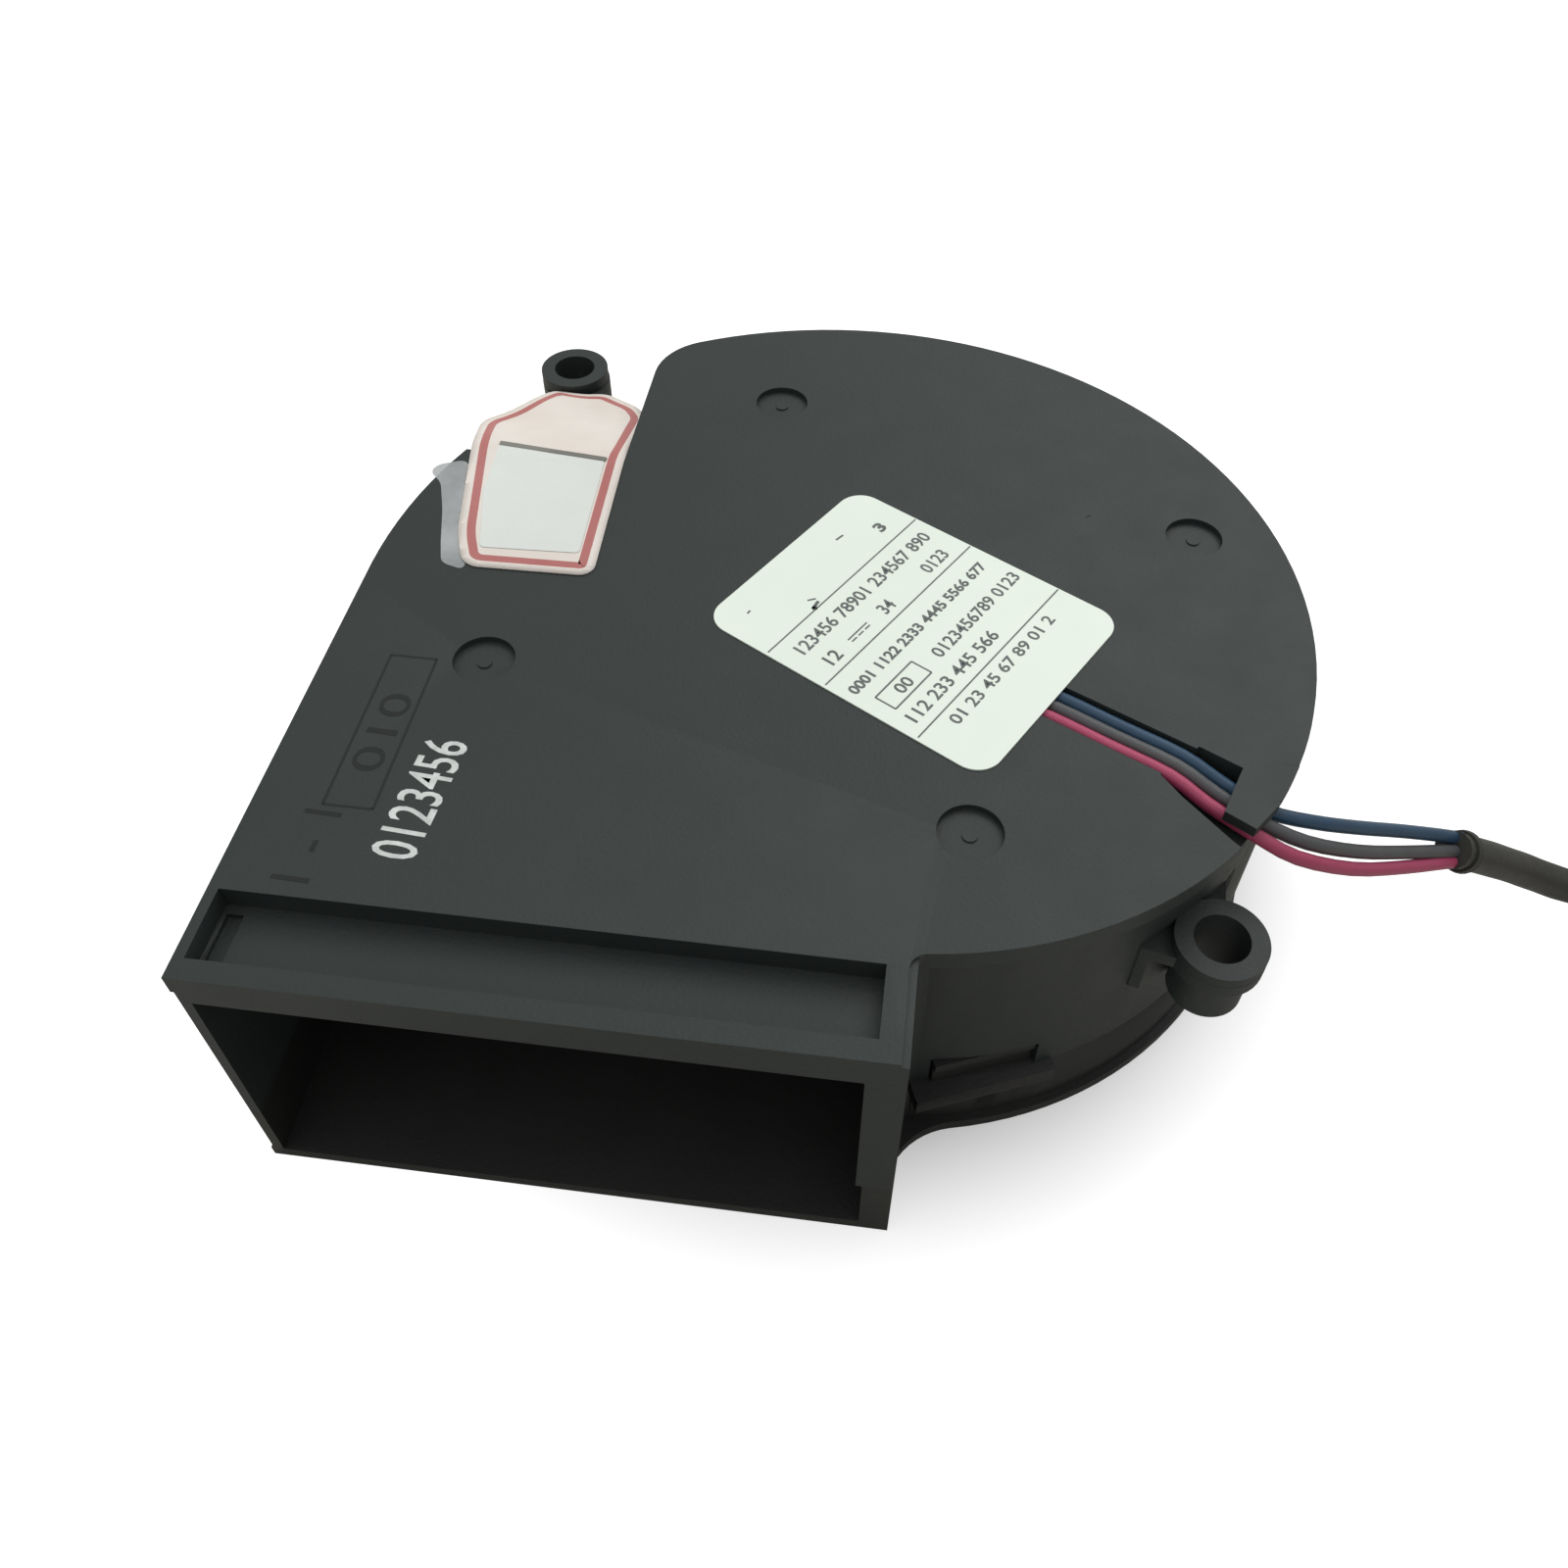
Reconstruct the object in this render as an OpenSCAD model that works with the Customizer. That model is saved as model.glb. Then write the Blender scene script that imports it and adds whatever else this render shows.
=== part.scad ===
// DC blower fan: scroll housing with a square outlet, drum impeller on two ball
// bearings, four-pole motor, three leads in a sleeve with a small connector.
// Z is up (label side), the rotor turns about Z, air leaves towards -Y.

/* [Housing] */
// Overall height of the housing, base to label face
body_h = 33; // [30:0.5:38]
// Radius of the large back arc of the scroll
scroll_r = 48; // [47.5:0.1:49]
// Radius of the tight arc of the scroll beside the outlet
throat_r = 40.3; // [39.5:0.1:41]
// How far the outlet face stands in front of the rotor axis
outlet_front = 49.7; // [46:0.1:60]
// Left side of the outlet duct, measured from the rotor axis
duct_left = 52.7; // [52:0.1:54]
// Right side of the outlet duct, measured from the rotor axis
duct_right = 7.5; // [6.5:0.1:9]
// Thickness of the label face plate
plate_t = 2.2; // [2:0.1:2.6]
// Thickness of the scroll side wall
wall_t = 1.8; // [1.4:0.1:2.2]
// How far the face plate overhangs the scroll wall
overhang = 0.8; // [0.4:0.1:1.2]
// Height of the parting line between housing and inlet cover
part_h = 9.4; // [8:0.1:11]
// Thickness of the duct wall on the scroll side of the outlet
duct_wall = 3.4; // [2.6:0.1:4]
// Thickness of the duct wall on the free side of the outlet
duct_skin = 1.3; // [1:0.1:1.6]
// Height of the bar above the outlet opening
mouth_bar = 3.75; // [3.6:0.05:5]

/* [Inlet cover] */
// Thickness of the inlet cover plate
cover_t = 1.4; // [1.2:0.1:2]
// Radius of the inlet opening
inlet_r = 27; // [25:0.1:28]
// Height of the inlet lip above the base
lip_h = 3.5; // [2.5:0.1:3.8]

/* [Mounting ears] */
// Outside radius of a mounting ear
ear_r = 4.3; // [3.8:0.1:5]
// Radius of the screw hole through a mounting ear
ear_hole_r = 2.5; // [2.1:0.05:2.8]
// Height of the top face of the ears above the base
ear_top = 25; // [24:0.1:26]
// Thickness of a mounting ear
ear_t = 6.5; // [4:0.1:8]

/* [Impeller] */
// Outside radius of the impeller
wheel_r = 33.9; // [32.5:0.1:34.4]
// Inside radius of the blade ring
blade_in_r = 27.6; // [26:0.1:29]
// Number of blades
blades = 31; // [21:2:37]
// Thickness of one blade
blade_t = 0.9; // [0.7:0.05:1.2]
// Wall thickness of the impeller hub
hub_wall = 1.3; // [1:0.1:1.6]
// Radius of the motor shaft
shaft_r = 1.5; // [1.5:0.05:1.55]

/* [Motor] */
// Outside radius of the magnet ring
magnet_r = 16.7; // [15.5:0.1:17.5]
// Thickness of the magnet ring
magnet_t = 1.9; // [1.6:0.1:2.4]
// Wall thickness of the rotor yoke
yoke_t = 1; // [0.8:0.1:1.2]
// Air gap between the stator core and the magnet ring
air_gap = 0.4; // [0.3:0.05:0.6]
// Outside radius of the bearing tube
tube_r = 4.6; // [4.4:0.1:4.8]
// Outside radius of a ball bearing
bearing_r = 3.5; // [3.5:0.05:3.55]
// Width of a ball bearing
bearing_w = 3; // [2.8:0.1:3.2]

/* [Leads] */
// Radius of one insulated lead
lead_r = 0.7; // [0.6:0.05:0.75]
// Radius of the sleeve over the leads
sleeve_r = 1.9; // [1.8:0.05:2.1]

/* [Hidden] */
$fn = 72;

join = 0.4;
// scroll centres: three arcs that run into each other almost without a kink
turn_low = -13.3;
turn_high = 150;
main_c = [-3.5, 3];
arc_kink = 1;
arc_lap = 5;
low_join = main_c + scroll_r * [cos(turn_low), sin(turn_low)];
low_c = low_join - throat_r * [cos(turn_low + arc_kink), sin(turn_low + arc_kink)];
left_join = main_c + scroll_r * [cos(turn_high), sin(turn_high)];
left_r = (left_join[0] + duct_left + 0.02) / (1 + cos(turn_high - arc_kink));
left_c = left_join - left_r * [cos(turn_high - arc_kink), sin(turn_high - arc_kink)];
far = 90;
face_right = duct_right - 0.7;
face_z = body_h - plate_t;
wall_top = body_h - 0.4;
inner = overhang + wall_t;
neck_fillet = 1.5;
cover_fillet = 8;
nose_fillet = 1.5;
cusp_trim = 0.004;
duct_inset = 0.3;

// lap joint between housing and cover
lap_h = 1.2;
lap_gap = 0.1;
lap_t = 0.8;
lap_start = -70;
lap_end = 178;

// lowered corner of the face above the back ear
notch_x = -30.3;
notch_y = 20.2;
notch_wall = 1.1;

// ear centres, set out from the edges of the large arc and of the tight arc
back_turn = 132.15;
back_reach = 11.08;
back_ear = main_c + (scroll_r + back_reach) * [cos(back_turn), sin(back_turn)];
front_turn = -45.26;
front_reach = 3.12;
front_ear = low_c + (throat_r + front_reach) * [cos(front_turn), sin(front_turn)];
front_web = [[ear_r, 0.4], [2.8, 7.5], [-1.4, 11.3], [-10.4, 2.3], [-7, -1.1], [-3.9, -1.8]];

// recess across the outlet end of the face
slot_box = [-51.7, -47.7, 4.9, -40.9];
slot_depth = 2.4;
slot_corner = 0.8;
bar_back = -39.4;

// round recesses in the face
dimple_r = 3.05;
dimple_depth = 1.3;
pip_r = 0.7;
dimples = [[-14.1, 34.2], [33.4, 16.35], [11.1, -26.6], [-37.2, -11.8]];

// lead channel in the face
channel_w = 4.6;
channel_depth = 1.5;
channel_turn = -27;
channel_start = [18.8, -10.1];
channel_len = 17;
well_len = 8;
pocket_z = body_h - 3;
tray_t = 1.2;
tab_t = 1.2;
// outlines of the lead pocket, measured from where the leads pass the edge of the face
exit_turn = -30.5;
lead_exit = low_c + throat_r * [cos(exit_turn), sin(exit_turn)];
pocket = [[-10.4, 2.2], [-8.6, -0.1], [-4.4, -4.6], [-0.6, -8.1], [4.9, -0.1], [2.9, 3.4],
    [-2.2, 3.7], [-6.6, 6.1]];
tray = [[-12.2, 3.1], [-9.6, -2.1], [-5.6, -6.5], [3.4, 2.9], [-1.8, 5.9], [-6.6, 7.9]];
tab = [[-2.2, 5.3], [-3.2, 2.9], [-5.1, -2], [-2.1, -4.1], [-0.5, -3.2], [0.8, 2.9]];

// snap latches between housing and cover
latch_turns = [-68, 8, 62, 122];
latch_w = 10;
latch_h = 3.6;
latch_gap = 0.2;
ledge_out = 1.3;
ledge_t = 2;

// motor stack heights
hub_floor = 4.2;
hub_floor_t = 1.4;
hub_drop = 6.2;
hub_top = body_h - hub_drop;
disc_t = 1.2;
boss_r = 3.2;
boss_top = 7.4;
ring_base = 4.3;
ring_t = 1.6;
ring_w = 2.5;
blade_base = 5;
blade_heel = 1.5;
blade_trim = 0.8;
blade_curve = wheel_r - blade_in_r + blade_heel - blade_trim;
yoke_r = magnet_r + yoke_t;
hub_r = yoke_r + hub_wall;
yoke_base = hub_floor + hub_floor_t;
yoke_drop = 3.8;
yoke_top = hub_top - yoke_drop;
magnet_in_r = magnet_r - magnet_t;
stator_r = magnet_in_r - air_gap;
magnet_base = 10;
magnet_drop = 1;
magnet_top = yoke_top - magnet_drop;
tube_base = 8.6;
tube_drop = 1.4;
tube_top = body_h - tube_drop;
tube_neck_r = bearing_r - 0.5;
seat_low = 12;
seat_drop = 7;
seat_high = body_h - seat_drop;
plate_boss_r = 8;
boss_drop = 6.4;
plate_boss_z = body_h - boss_drop;
core_base = 12;
tooth_w = 4.4;
shoe_t = 1.6;
shoe_turn = 39;
core_hub_r = 7.4;
bobbin_t = 0.9;
bobbin_wall = 3.2;
bobbin_wall_t = 0.8;
coil_t = 1.5;
coil_gap = 0.1;
board_t = 1;
board_r = stator_r - 0.8;
cap_r = 2;
cap_h = 4.4;
cap_clear = 1.3;
board_top = face_z - cap_clear - cap_h;
board_base = board_top - board_t;
core_top = board_base - bobbin_wall - bobbin_t;
board_in_r = tube_r + 0.3;
shaft_base = hub_floor + 0.3;
shaft_drop = 2.2;
shaft_top = body_h - shaft_drop;
groove_r = shaft_r - 0.3;
washer_z = seat_high + bearing_w;
washer_t = 0.4;
clip_z = washer_z + washer_t;
clip_t = 0.4;
ball_r = 0.55;
ball_gap = 0.03;
ball_track = (bearing_r + shaft_r) / 2;
ball_count = 7;
inner_ring_r = shaft_r + 0.62;
outer_ring_r = bearing_r - 0.62;
spring_wire = 0.25;
spring_turns = 2.5;
spring_r = 1.95;

// label and sticker
label_c = [4.2, -0.7];
label_size = [33.7, 26.2];
label_turn = -30.4;
label_corner = 2.7;
label_t = 0.15;
sticker_t = 0.15;
// outlines of the sticker's flat part and of its flap, measured from the lowered corner
sticker_lap = 0.1;
sticker_flat = [[-12.9, -19.3], [0.7, -19], [0, sticker_lap], [-17.4, sticker_lap],
    [-16.3, -7.1], [-14.9, -14.4]];
flap_run = 22.9;
flap = [[-17.4, 0], [0, 0], [-0.7, 14.7], [-2.9, 20.3], [-8.1, 23.4], [-14.3, 23.4],
    [-17.3, 13.2], [-19, 9.7], [-18.1, 3]];

// lead routes, from the board to the sleeve
lead_pitch = 1.42;
lead_side = [0.454, 0.891, 0];
route_blue = [[8.4, -3.4, 25.8], [10.2, -4.3, 27.4], [12.8, -5.5, 30], [15.8, -7, 31.9],
    [19.4, -8.8, 32.2], [25, -11.7, 32.2], [30.5, -14.5, 32.2], [34, -16.6, 31.5],
    [38.2, -18.9, 30.8], [42.5, -19, 30], [48, -16.6, 26.9], [54, -13.3, 23],
    [60.2, -10.6, 19.6], [63.4, -9.3, 17.6]];
route_grey = [[7.8, -4.7, 25.8], [9.5, -5.5, 27.4], [12.2, -6.8, 30], [15.1, -8.3, 31.9],
    [18.8, -10.1, 32.2], [24.4, -13, 32.2], [29.9, -15.8, 32.2], [33.4, -18, 31.5],
    [37.5, -20.3, 30.8], [42, -21, 29.4], [48, -18.6, 25.8], [54, -15.2, 22.1],
    [60, -12, 19], [63.2, -10.4, 17.2]];
route_red = [[7.1, -5.9, 25.8], [8.9, -6.8, 27.4], [11.5, -8.1, 30], [14.5, -9.6, 31.9],
    [18.2, -11.4, 32.2], [23.8, -14.3, 32.2], [29.2, -17.1, 32.2], [32.6, -19.4, 31.5],
    [36.7, -21.7, 30.8], [41, -22.7, 29.2], [47.4, -20.4, 25.4], [53.8, -16.6, 21.5],
    [60, -12.8, 18.2], [63.2, -11, 16.6]];
sleeve_start = [60.6, -11.5, 18.7];
route_sleeve = [[60.6, -11.5, 18.7], [66, -8.9, 14.6], [71.6, -6.4, 10.2], [77.4, -4.4, 6],
    [83.4, -3.6, 3.2], [90, -6, 2.1], [97, -12.4, 1.95], [103.1, -17.8, 1.95]];
tie_r = 2.5;
tie_h = 1.6;

// coil of sleeve and the connector lying inside it
coil_c = [109, 4, 0];
coil_out = 24.6;
coil_in = 15.2;
coil_h = 3.9;
coil_edge = 1.6;
plug_c = [106.9, 4.8];
plug_size = [7.6, 12, 4.6];
pin_pitch = 2.5;
pin_z = 2.3;
pin_bore = 1.5;
// tails of the leads, bent round from the end of the sleeve into the connector
tail_c = [114.9, 11];
tail_r = 8;
tail_from = 50;
tail_to = 180;
tail_heights = [1.95, 1.3, 0.9, 0.8, 1.2, 2.3];
tail_reach = 1.8;

// ---------- helpers ----------

// smooth curve through hand-chosen points
function curve_point(p, i, t) =
    let (a = p[max(i - 1, 0)], b = p[i], c = p[i + 1], d = p[min(i + 2, len(p) - 1)])
    0.5 * (2 * b + (c - a) * t + (2 * a - 5 * b + 4 * c - d) * t * t
        + (3 * b - a - 3 * c + d) * t * t * t);
function smooth_route(p, steps) =
    concat([for (i = [0:len(p) - 2]) for (k = [0:steps - 1]) curve_point(p, i, k / steps)],
        [p[len(p) - 1]]);
function unit(v) = v / norm(v);
function route_dir(p, i) = unit(p[min(i + 1, len(p) - 1)] - p[max(i - 1, 0)]);

module tube_along(route, steps, r, sides, side_dir) {
    p = smooth_route(route, steps);
    n = len(p);
    points = [for (i = [0:n - 1])
        let (t = route_dir(p, i), u = unit(cross(t, side_dir)), v = cross(u, t))
        for (k = [0:sides - 1])
            p[i] + r * (cos(360 * k / sides) * u + sin(360 * k / sides) * v)];
    near_faces = [for (i = [0:n - 2]) for (k = [0:sides - 1])
        [i * sides + k, i * sides + (k + 1) % sides, (i + 1) * sides + (k + 1) % sides]];
    far_faces = [for (i = [0:n - 2]) for (k = [0:sides - 1])
        [i * sides + k, (i + 1) * sides + (k + 1) % sides, (i + 1) * sides + k]];
    caps = [[for (k = [0:sides - 1]) sides - 1 - k],
        [for (k = [0:sides - 1]) (n - 1) * sides + k]];
    polyhedron(points, concat(near_faces, far_faces, caps));
}

module wedge(c, from, to) {
    mid = (from + to) / 2;
    polygon([c, c + far * [cos(from), sin(from)], c + 2 * far * [cos(mid), sin(mid)],
        c + far * [cos(to), sin(to)]]);
}

// scroll outline drawn with its edge moved in by the inset
module scroll(inset) {
    intersection() {
        translate(main_c) circle(scroll_r - inset);
        polygon([main_c, main_c + far * [cos(turn_low - arc_lap), sin(turn_low - arc_lap)],
            [far, far], [-far, far], [-far, -far], [main_c[0], -far]]);
    }
    translate(low_c) circle(throat_r - inset);
    intersection() {
        translate(left_c) circle(left_r - inset);
        wedge(left_c, turn_high - arc_lap, 180 + arc_lap);
    }
}

// band along the scroll wall between two insets, clear of the outlet duct
module scroll_band(out_inset, in_inset) {
    band_part(main_c, scroll_r - out_inset, scroll_r - in_inset, turn_low, turn_high);
    band_part(left_c, left_r - out_inset, left_r - in_inset, turn_high, lap_end);
    band_part(low_c, throat_r - out_inset, throat_r - in_inset, lap_start, turn_low);
}

module band_part(c, r_out, r_in, from, to) {
    intersection() {
        difference() {
            translate(c) circle(r_out);
            translate(c) circle(r_in);
        }
        wedge(c, from, to);
    }
}

// piece that rounds the corner between a straight side and the tight arc
module corner_fill(x, r, f) {
    fy = low_c[1] - sqrt((r + f) * (r + f) - (x + f - low_c[0]) * (x + f - low_c[0]));
    fc = [x + f, fy];
    touch = low_c + (fc - low_c) * r / (r + f);
    difference() {
        polygon([[x - join, fy], fc, touch, touch + [0, 2 * join], [x - join, touch[1] + 2 * join]]);
        translate(fc) circle(f + cusp_trim);
    }
}

module face_plan(fillet) {
    scroll(0);
    translate([-duct_left, -outlet_front]) square([duct_left + face_right, outlet_front + left_c[1]]);
    corner_fill(face_right, throat_r, fillet);
}

module wall_plan() {
    scroll(overhang);
    translate([duct_inset - duct_left, -outlet_front])
        square([duct_left - duct_inset + duct_right, outlet_front + left_c[1]]);
    corner_fill(duct_right, throat_r - overhang, neck_fillet);
}

module air_plan(duct_edge) {
    scroll(inner);
    translate([duct_skin - duct_left, -far])
        square([duct_left - duct_skin + duct_edge, far + left_c[1]]);
    corner_fill(duct_edge, throat_r - inner, nose_fillet);
}

module round_box(x0, y0, x1, y1, r) {
    translate([x0 + r, y0]) square([x1 - x0 - 2 * r, y1 - y0]);
    translate([x0, y0 + r]) square([x1 - x0, y1 - y0 - 2 * r]);
    for (x = [x0 + r, x1 - r]) for (y = [y0 + r, y1 - r]) translate([x, y]) circle(r);
}

module slab(z0, z1) {
    translate([0, 0, z0]) linear_extrude(z1 - z0) children();
}

module ring(z0, z1, r_in, r_out) {
    difference() {
        translate([0, 0, z0]) cylinder(r = r_out, h = z1 - z0);
        translate([0, 0, z0 - 1]) cylinder(r = r_in, h = z1 - z0 + 2);
    }
}

// ---------- housing ----------

module ear_web_back() {
    away = unit(main_c - back_ear);
    across = [-away[1], away[0]];
    foot = back_reach - 2.08;
    root = back_reach + 3.42;
    polygon([back_ear + ear_r * across, back_ear + foot * away + 5.4 * across,
        back_ear + root * away + 8 * across, back_ear + root * away - 8 * across,
        back_ear + foot * away - 5.4 * across, back_ear - ear_r * across]);
}

module ear_web_front() {
    polygon([for (p = front_web) front_ear + p]);
}

module ear_disc(c) {
    translate([c[0], c[1], ear_top - ear_t]) cylinder(r = ear_r, h = ear_t);
}

module ear_hole(c) {
    translate([c[0], c[1], ear_top - ear_t - 1]) cylinder(r = ear_hole_r, h = ear_t + 2);
}

module latch_cut(turn, grow, z0, z1) {
    translate([0, 0, z0]) rotate([0, 0, turn])
        translate([latch_r(turn) - 6, -latch_w / 2 - grow, 0]) cube([12, latch_w + 2 * grow, z1 - z0]);
}

// distance from the rotor axis to the outside of the scroll wall along a direction
function ray_r(c, r, turn) =
    let (b = c[0] * cos(turn) + c[1] * sin(turn), k = c[0] * c[0] + c[1] * c[1] - r * r)
    b + sqrt(b * b - k);
function latch_r(turn) =
    turn < turn_low ? ray_r(low_c, throat_r - overhang, turn) : ray_r(main_c, scroll_r - overhang, turn);

module housing_outside() {
    slab(face_z, body_h) face_plan(neck_fillet);
    slab(part_h, wall_top) wall_plan();
}

module air_space() {
    difference() {
        slab(part_h - 1, face_z) air_plan(duct_right - duct_wall);
        translate([-far, notch_y - notch_wall, part_h - 2])
            cube([far + notch_x + notch_wall, far, body_h]);
        translate([-far, -outlet_front, body_h - mouth_bar])
            cube([2 * far, outlet_front + bar_back, body_h]);
        slab(pocket_z - tray_t, body_h) translate(lead_exit) polygon(tray);
    }
    intersection() {
        slab(part_h - 1, ear_top - plate_t) air_plan(duct_right - duct_wall);
        translate([-far, notch_y - notch_wall - join, part_h - 2])
            cube([far + notch_x + notch_wall + join, far, body_h]);
    }
}

module lead_path_cut() {
    translate([channel_start[0], channel_start[1], 0]) rotate([0, 0, channel_turn]) {
        translate([0, -channel_w / 2, body_h - channel_depth]) cube([channel_len, channel_w, body_h]);
        translate([channel_len, 0, body_h - channel_depth]) cylinder(r = channel_w / 2, h = body_h);
        translate([-well_len, -channel_w / 2, face_z - 1]) cube([well_len, channel_w, body_h]);
    }
    slab(pocket_z, body_h + 1) translate(lead_exit) polygon(pocket);
}

module housing_body() {
    difference() {
        union() {
            housing_outside();
            slab(ear_top - ear_t, ear_top) ear_web_back();
            slab(ear_top - ear_t, ear_top) ear_web_front();
            ear_disc(back_ear);
            ear_disc(front_ear);
        }
        air_space();
        // lowered corner above the back ear
        translate([-far, notch_y, ear_top]) cube([far + notch_x, far, body_h]);
        slab(body_h - slot_depth, body_h + 1)
            round_box(slot_box[0], slot_box[1], slot_box[2], slot_box[3], slot_corner);
        for (c = dimples) translate([c[0], c[1], 0]) ring(body_h - dimple_depth, body_h + 1, pip_r, dimple_r);
        lead_path_cut();
        for (turn = latch_turns) latch_cut(turn, latch_gap, part_h - 1, part_h + latch_h + latch_gap);
        ear_hole(back_ear);
        ear_hole(front_ear);
    }
    // boss that holds the bearing tube
    translate([0, 0, plate_boss_z]) cylinder(r = plate_boss_r, h = face_z - plate_boss_z + join);
    slab(body_h - tab_t, body_h) translate(lead_exit) polygon(tab);
}

module housing() {
    color([0.19, 0.2, 0.2]) difference() {
        housing_body();
        translate([0, 0, plate_boss_z - 1]) cylinder(r = tube_r, h = body_h);
    }
}

// ---------- inlet cover ----------

module inlet_cover() {
    color([0.17, 0.18, 0.18]) {
        difference() {
            union() {
                slab(0, cover_t) face_plan(cover_fillet);
                slab(0, part_h) wall_plan();
            }
            difference() {
                slab(cover_t, part_h + 1) air_plan(duct_right - duct_wall + 0.6);
                ring(0, lip_h, inlet_r - 1, inlet_r + 1.4);
            }
            translate([0, 0, -1]) cylinder(r = inlet_r, h = body_h);
        }
        // lip that seats inside the housing wall
        difference() {
            union() {
                slab(part_h - 3, part_h) scroll_band(inner - join, inner + lap_t);
                slab(part_h - join, part_h + lap_h) scroll_band(inner + lap_gap, inner + lap_t);
            }
            for (turn = latch_turns) latch_cut(turn, 0, part_h, part_h + 3);
        }
        for (turn = latch_turns) cover_latch(turn);
    }
}

module cover_latch(turn) {
    rotate([0, 0, turn]) {
        translate([latch_r(turn) - 1.5, -latch_w / 2, part_h - 2])
            cube([1, latch_w, latch_h + 2]);
        translate([latch_r(turn) - 0.6, -latch_w / 2, part_h + latch_h - 1.1])
            cube([0.5, latch_w, 1.1]);
        translate([latch_r(turn) - 1.2, -latch_w / 2 - 2, part_h - ledge_t])
            cube([ledge_out + 1.2, latch_w + 4, ledge_t]);
    }
}

// ---------- rotor ----------

module blade() {
    intersection() {
        difference() {
            circle(blade_curve + blade_t / 2);
            circle(blade_curve - blade_t / 2);
        }
        square([2 * blade_curve, 2 * blade_curve]);
    }
}

module blade_ring() {
    intersection() {
        for (k = [0:blades - 1]) rotate(360 * k / blades)
            translate([blade_in_r - blade_heel, -blade_curve]) blade();
        difference() {
            circle(wheel_r - 0.3);
            circle(blade_in_r);
        }
    }
}

module impeller() {
    color([0.13, 0.13, 0.14]) difference() {
        union() {
            ring(hub_floor + 1, hub_top, yoke_r, hub_r);
            translate([0, 0, hub_floor]) cylinder(r = hub_r, h = hub_floor_t);
            translate([0, 0, hub_floor]) cylinder(r = boss_r, h = boss_top - hub_floor);
            ring(hub_top - disc_t, hub_top, yoke_r, wheel_r);
            ring(ring_base, ring_base + ring_t, wheel_r - ring_w, wheel_r);
            slab(blade_base, hub_top - disc_t / 2) blade_ring();
        }
        translate([0, 0, shaft_base]) cylinder(r = shaft_r, h = body_h);
    }
}

module rotor_yoke() {
    color([0.6, 0.61, 0.62]) {
        ring(yoke_base, yoke_base + 1, boss_r + 0.2, yoke_r);
        ring(yoke_base, yoke_top, magnet_r, yoke_r);
    }
}

module magnet_ring() {
    color([0.22, 0.21, 0.2]) ring(magnet_base, magnet_top, magnet_in_r, magnet_r);
}

module shaft() {
    color([0.78, 0.79, 0.8]) difference() {
        translate([0, 0, shaft_base]) cylinder(r = shaft_r, h = shaft_top - shaft_base);
        ring(clip_z, clip_z + clip_t, groove_r, shaft_r + 1);
    }
}

module preload_spring() {
    steps = 40;
    rise = seat_low - bearing_w - boss_top - 2 * spring_wire;
    route = [for (k = [0:steps]) [spring_r * cos(360 * spring_turns * k / steps),
        spring_r * sin(360 * spring_turns * k / steps), boss_top + spring_wire + rise * k / steps]];
    color([0.7, 0.7, 0.68]) tube_along(route, 1, spring_wire, 8, [0, 0, 1]);
}

module retaining_clip() {
    color([0.55, 0.56, 0.58]) difference() {
        ring(clip_z, clip_z + clip_t, groove_r, 2.6);
        translate([0, -0.9, clip_z - 1]) cube([5, 1.8, clip_t + 2]);
    }
}

module thrust_washer() {
    color([0.82, 0.8, 0.72]) ring(washer_z, washer_z + washer_t, shaft_r, inner_ring_r + 0.3);
}

// ---------- ball bearings ----------

module ball_groove(z) {
    translate([0, 0, z + bearing_w / 2]) rotate_extrude()
        translate([ball_track, 0]) circle(ball_r + ball_gap);
}

module outer_race(z) {
    difference() {
        ring(z, z + bearing_w, outer_ring_r, bearing_r);
        ball_groove(z);
    }
}

module inner_race(z) {
    difference() {
        ring(z, z + bearing_w, shaft_r, inner_ring_r);
        ball_groove(z);
    }
}

module ball_set(z) {
    translate([0, 0, z + bearing_w / 2]) {
        for (k = [0:ball_count - 1]) rotate([0, 0, 360 * k / ball_count])
            translate([ball_track, 0, 0]) sphere(ball_r);
        ring(-0.35, 0.35, ball_track - 0.2, ball_track + 0.2);
    }
}

module lower_outer_ring() {
    color([0.75, 0.76, 0.77]) outer_race(seat_low - bearing_w);
}

module lower_inner_ring() {
    color([0.72, 0.73, 0.74]) inner_race(seat_low - bearing_w);
}

module lower_balls() {
    color([0.8, 0.78, 0.6]) ball_set(seat_low - bearing_w);
}

module upper_outer_ring() {
    color([0.75, 0.76, 0.77]) outer_race(seat_high);
}

module upper_inner_ring() {
    color([0.72, 0.73, 0.74]) inner_race(seat_high);
}

module upper_balls() {
    color([0.8, 0.78, 0.6]) ball_set(seat_high);
}

// ---------- stator ----------

module bearing_tube() {
    color([0.78, 0.62, 0.3]) difference() {
        translate([0, 0, tube_base]) cylinder(r = tube_r, h = tube_top - tube_base);
        translate([0, 0, tube_base - 1]) cylinder(r = tube_neck_r, h = body_h);
        translate([0, 0, tube_base - 1]) cylinder(r = bearing_r, h = seat_low - tube_base + 1);
        translate([0, 0, seat_high]) cylinder(r = bearing_r, h = body_h);
    }
}

module tooth_plan(w, r_hub, r_out, shoe) {
    difference() {
        union() {
            circle(r_hub);
            for (k = [0:3]) rotate(90 * k) translate([0, -w / 2]) square([r_out - shoe / 2, w]);
            intersection() {
                difference() {
                    circle(r_out);
                    circle(r_out - shoe);
                }
                for (k = [0:3]) wedge_about(90 * k, shoe_turn);
            }
        }
        circle(tube_r);
    }
}

module wedge_about(turn, half) {
    polygon([[0, 0], far * [cos(turn - half), sin(turn - half)], far * [cos(turn), sin(turn)],
        far * [cos(turn + half), sin(turn + half)]]);
}

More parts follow.
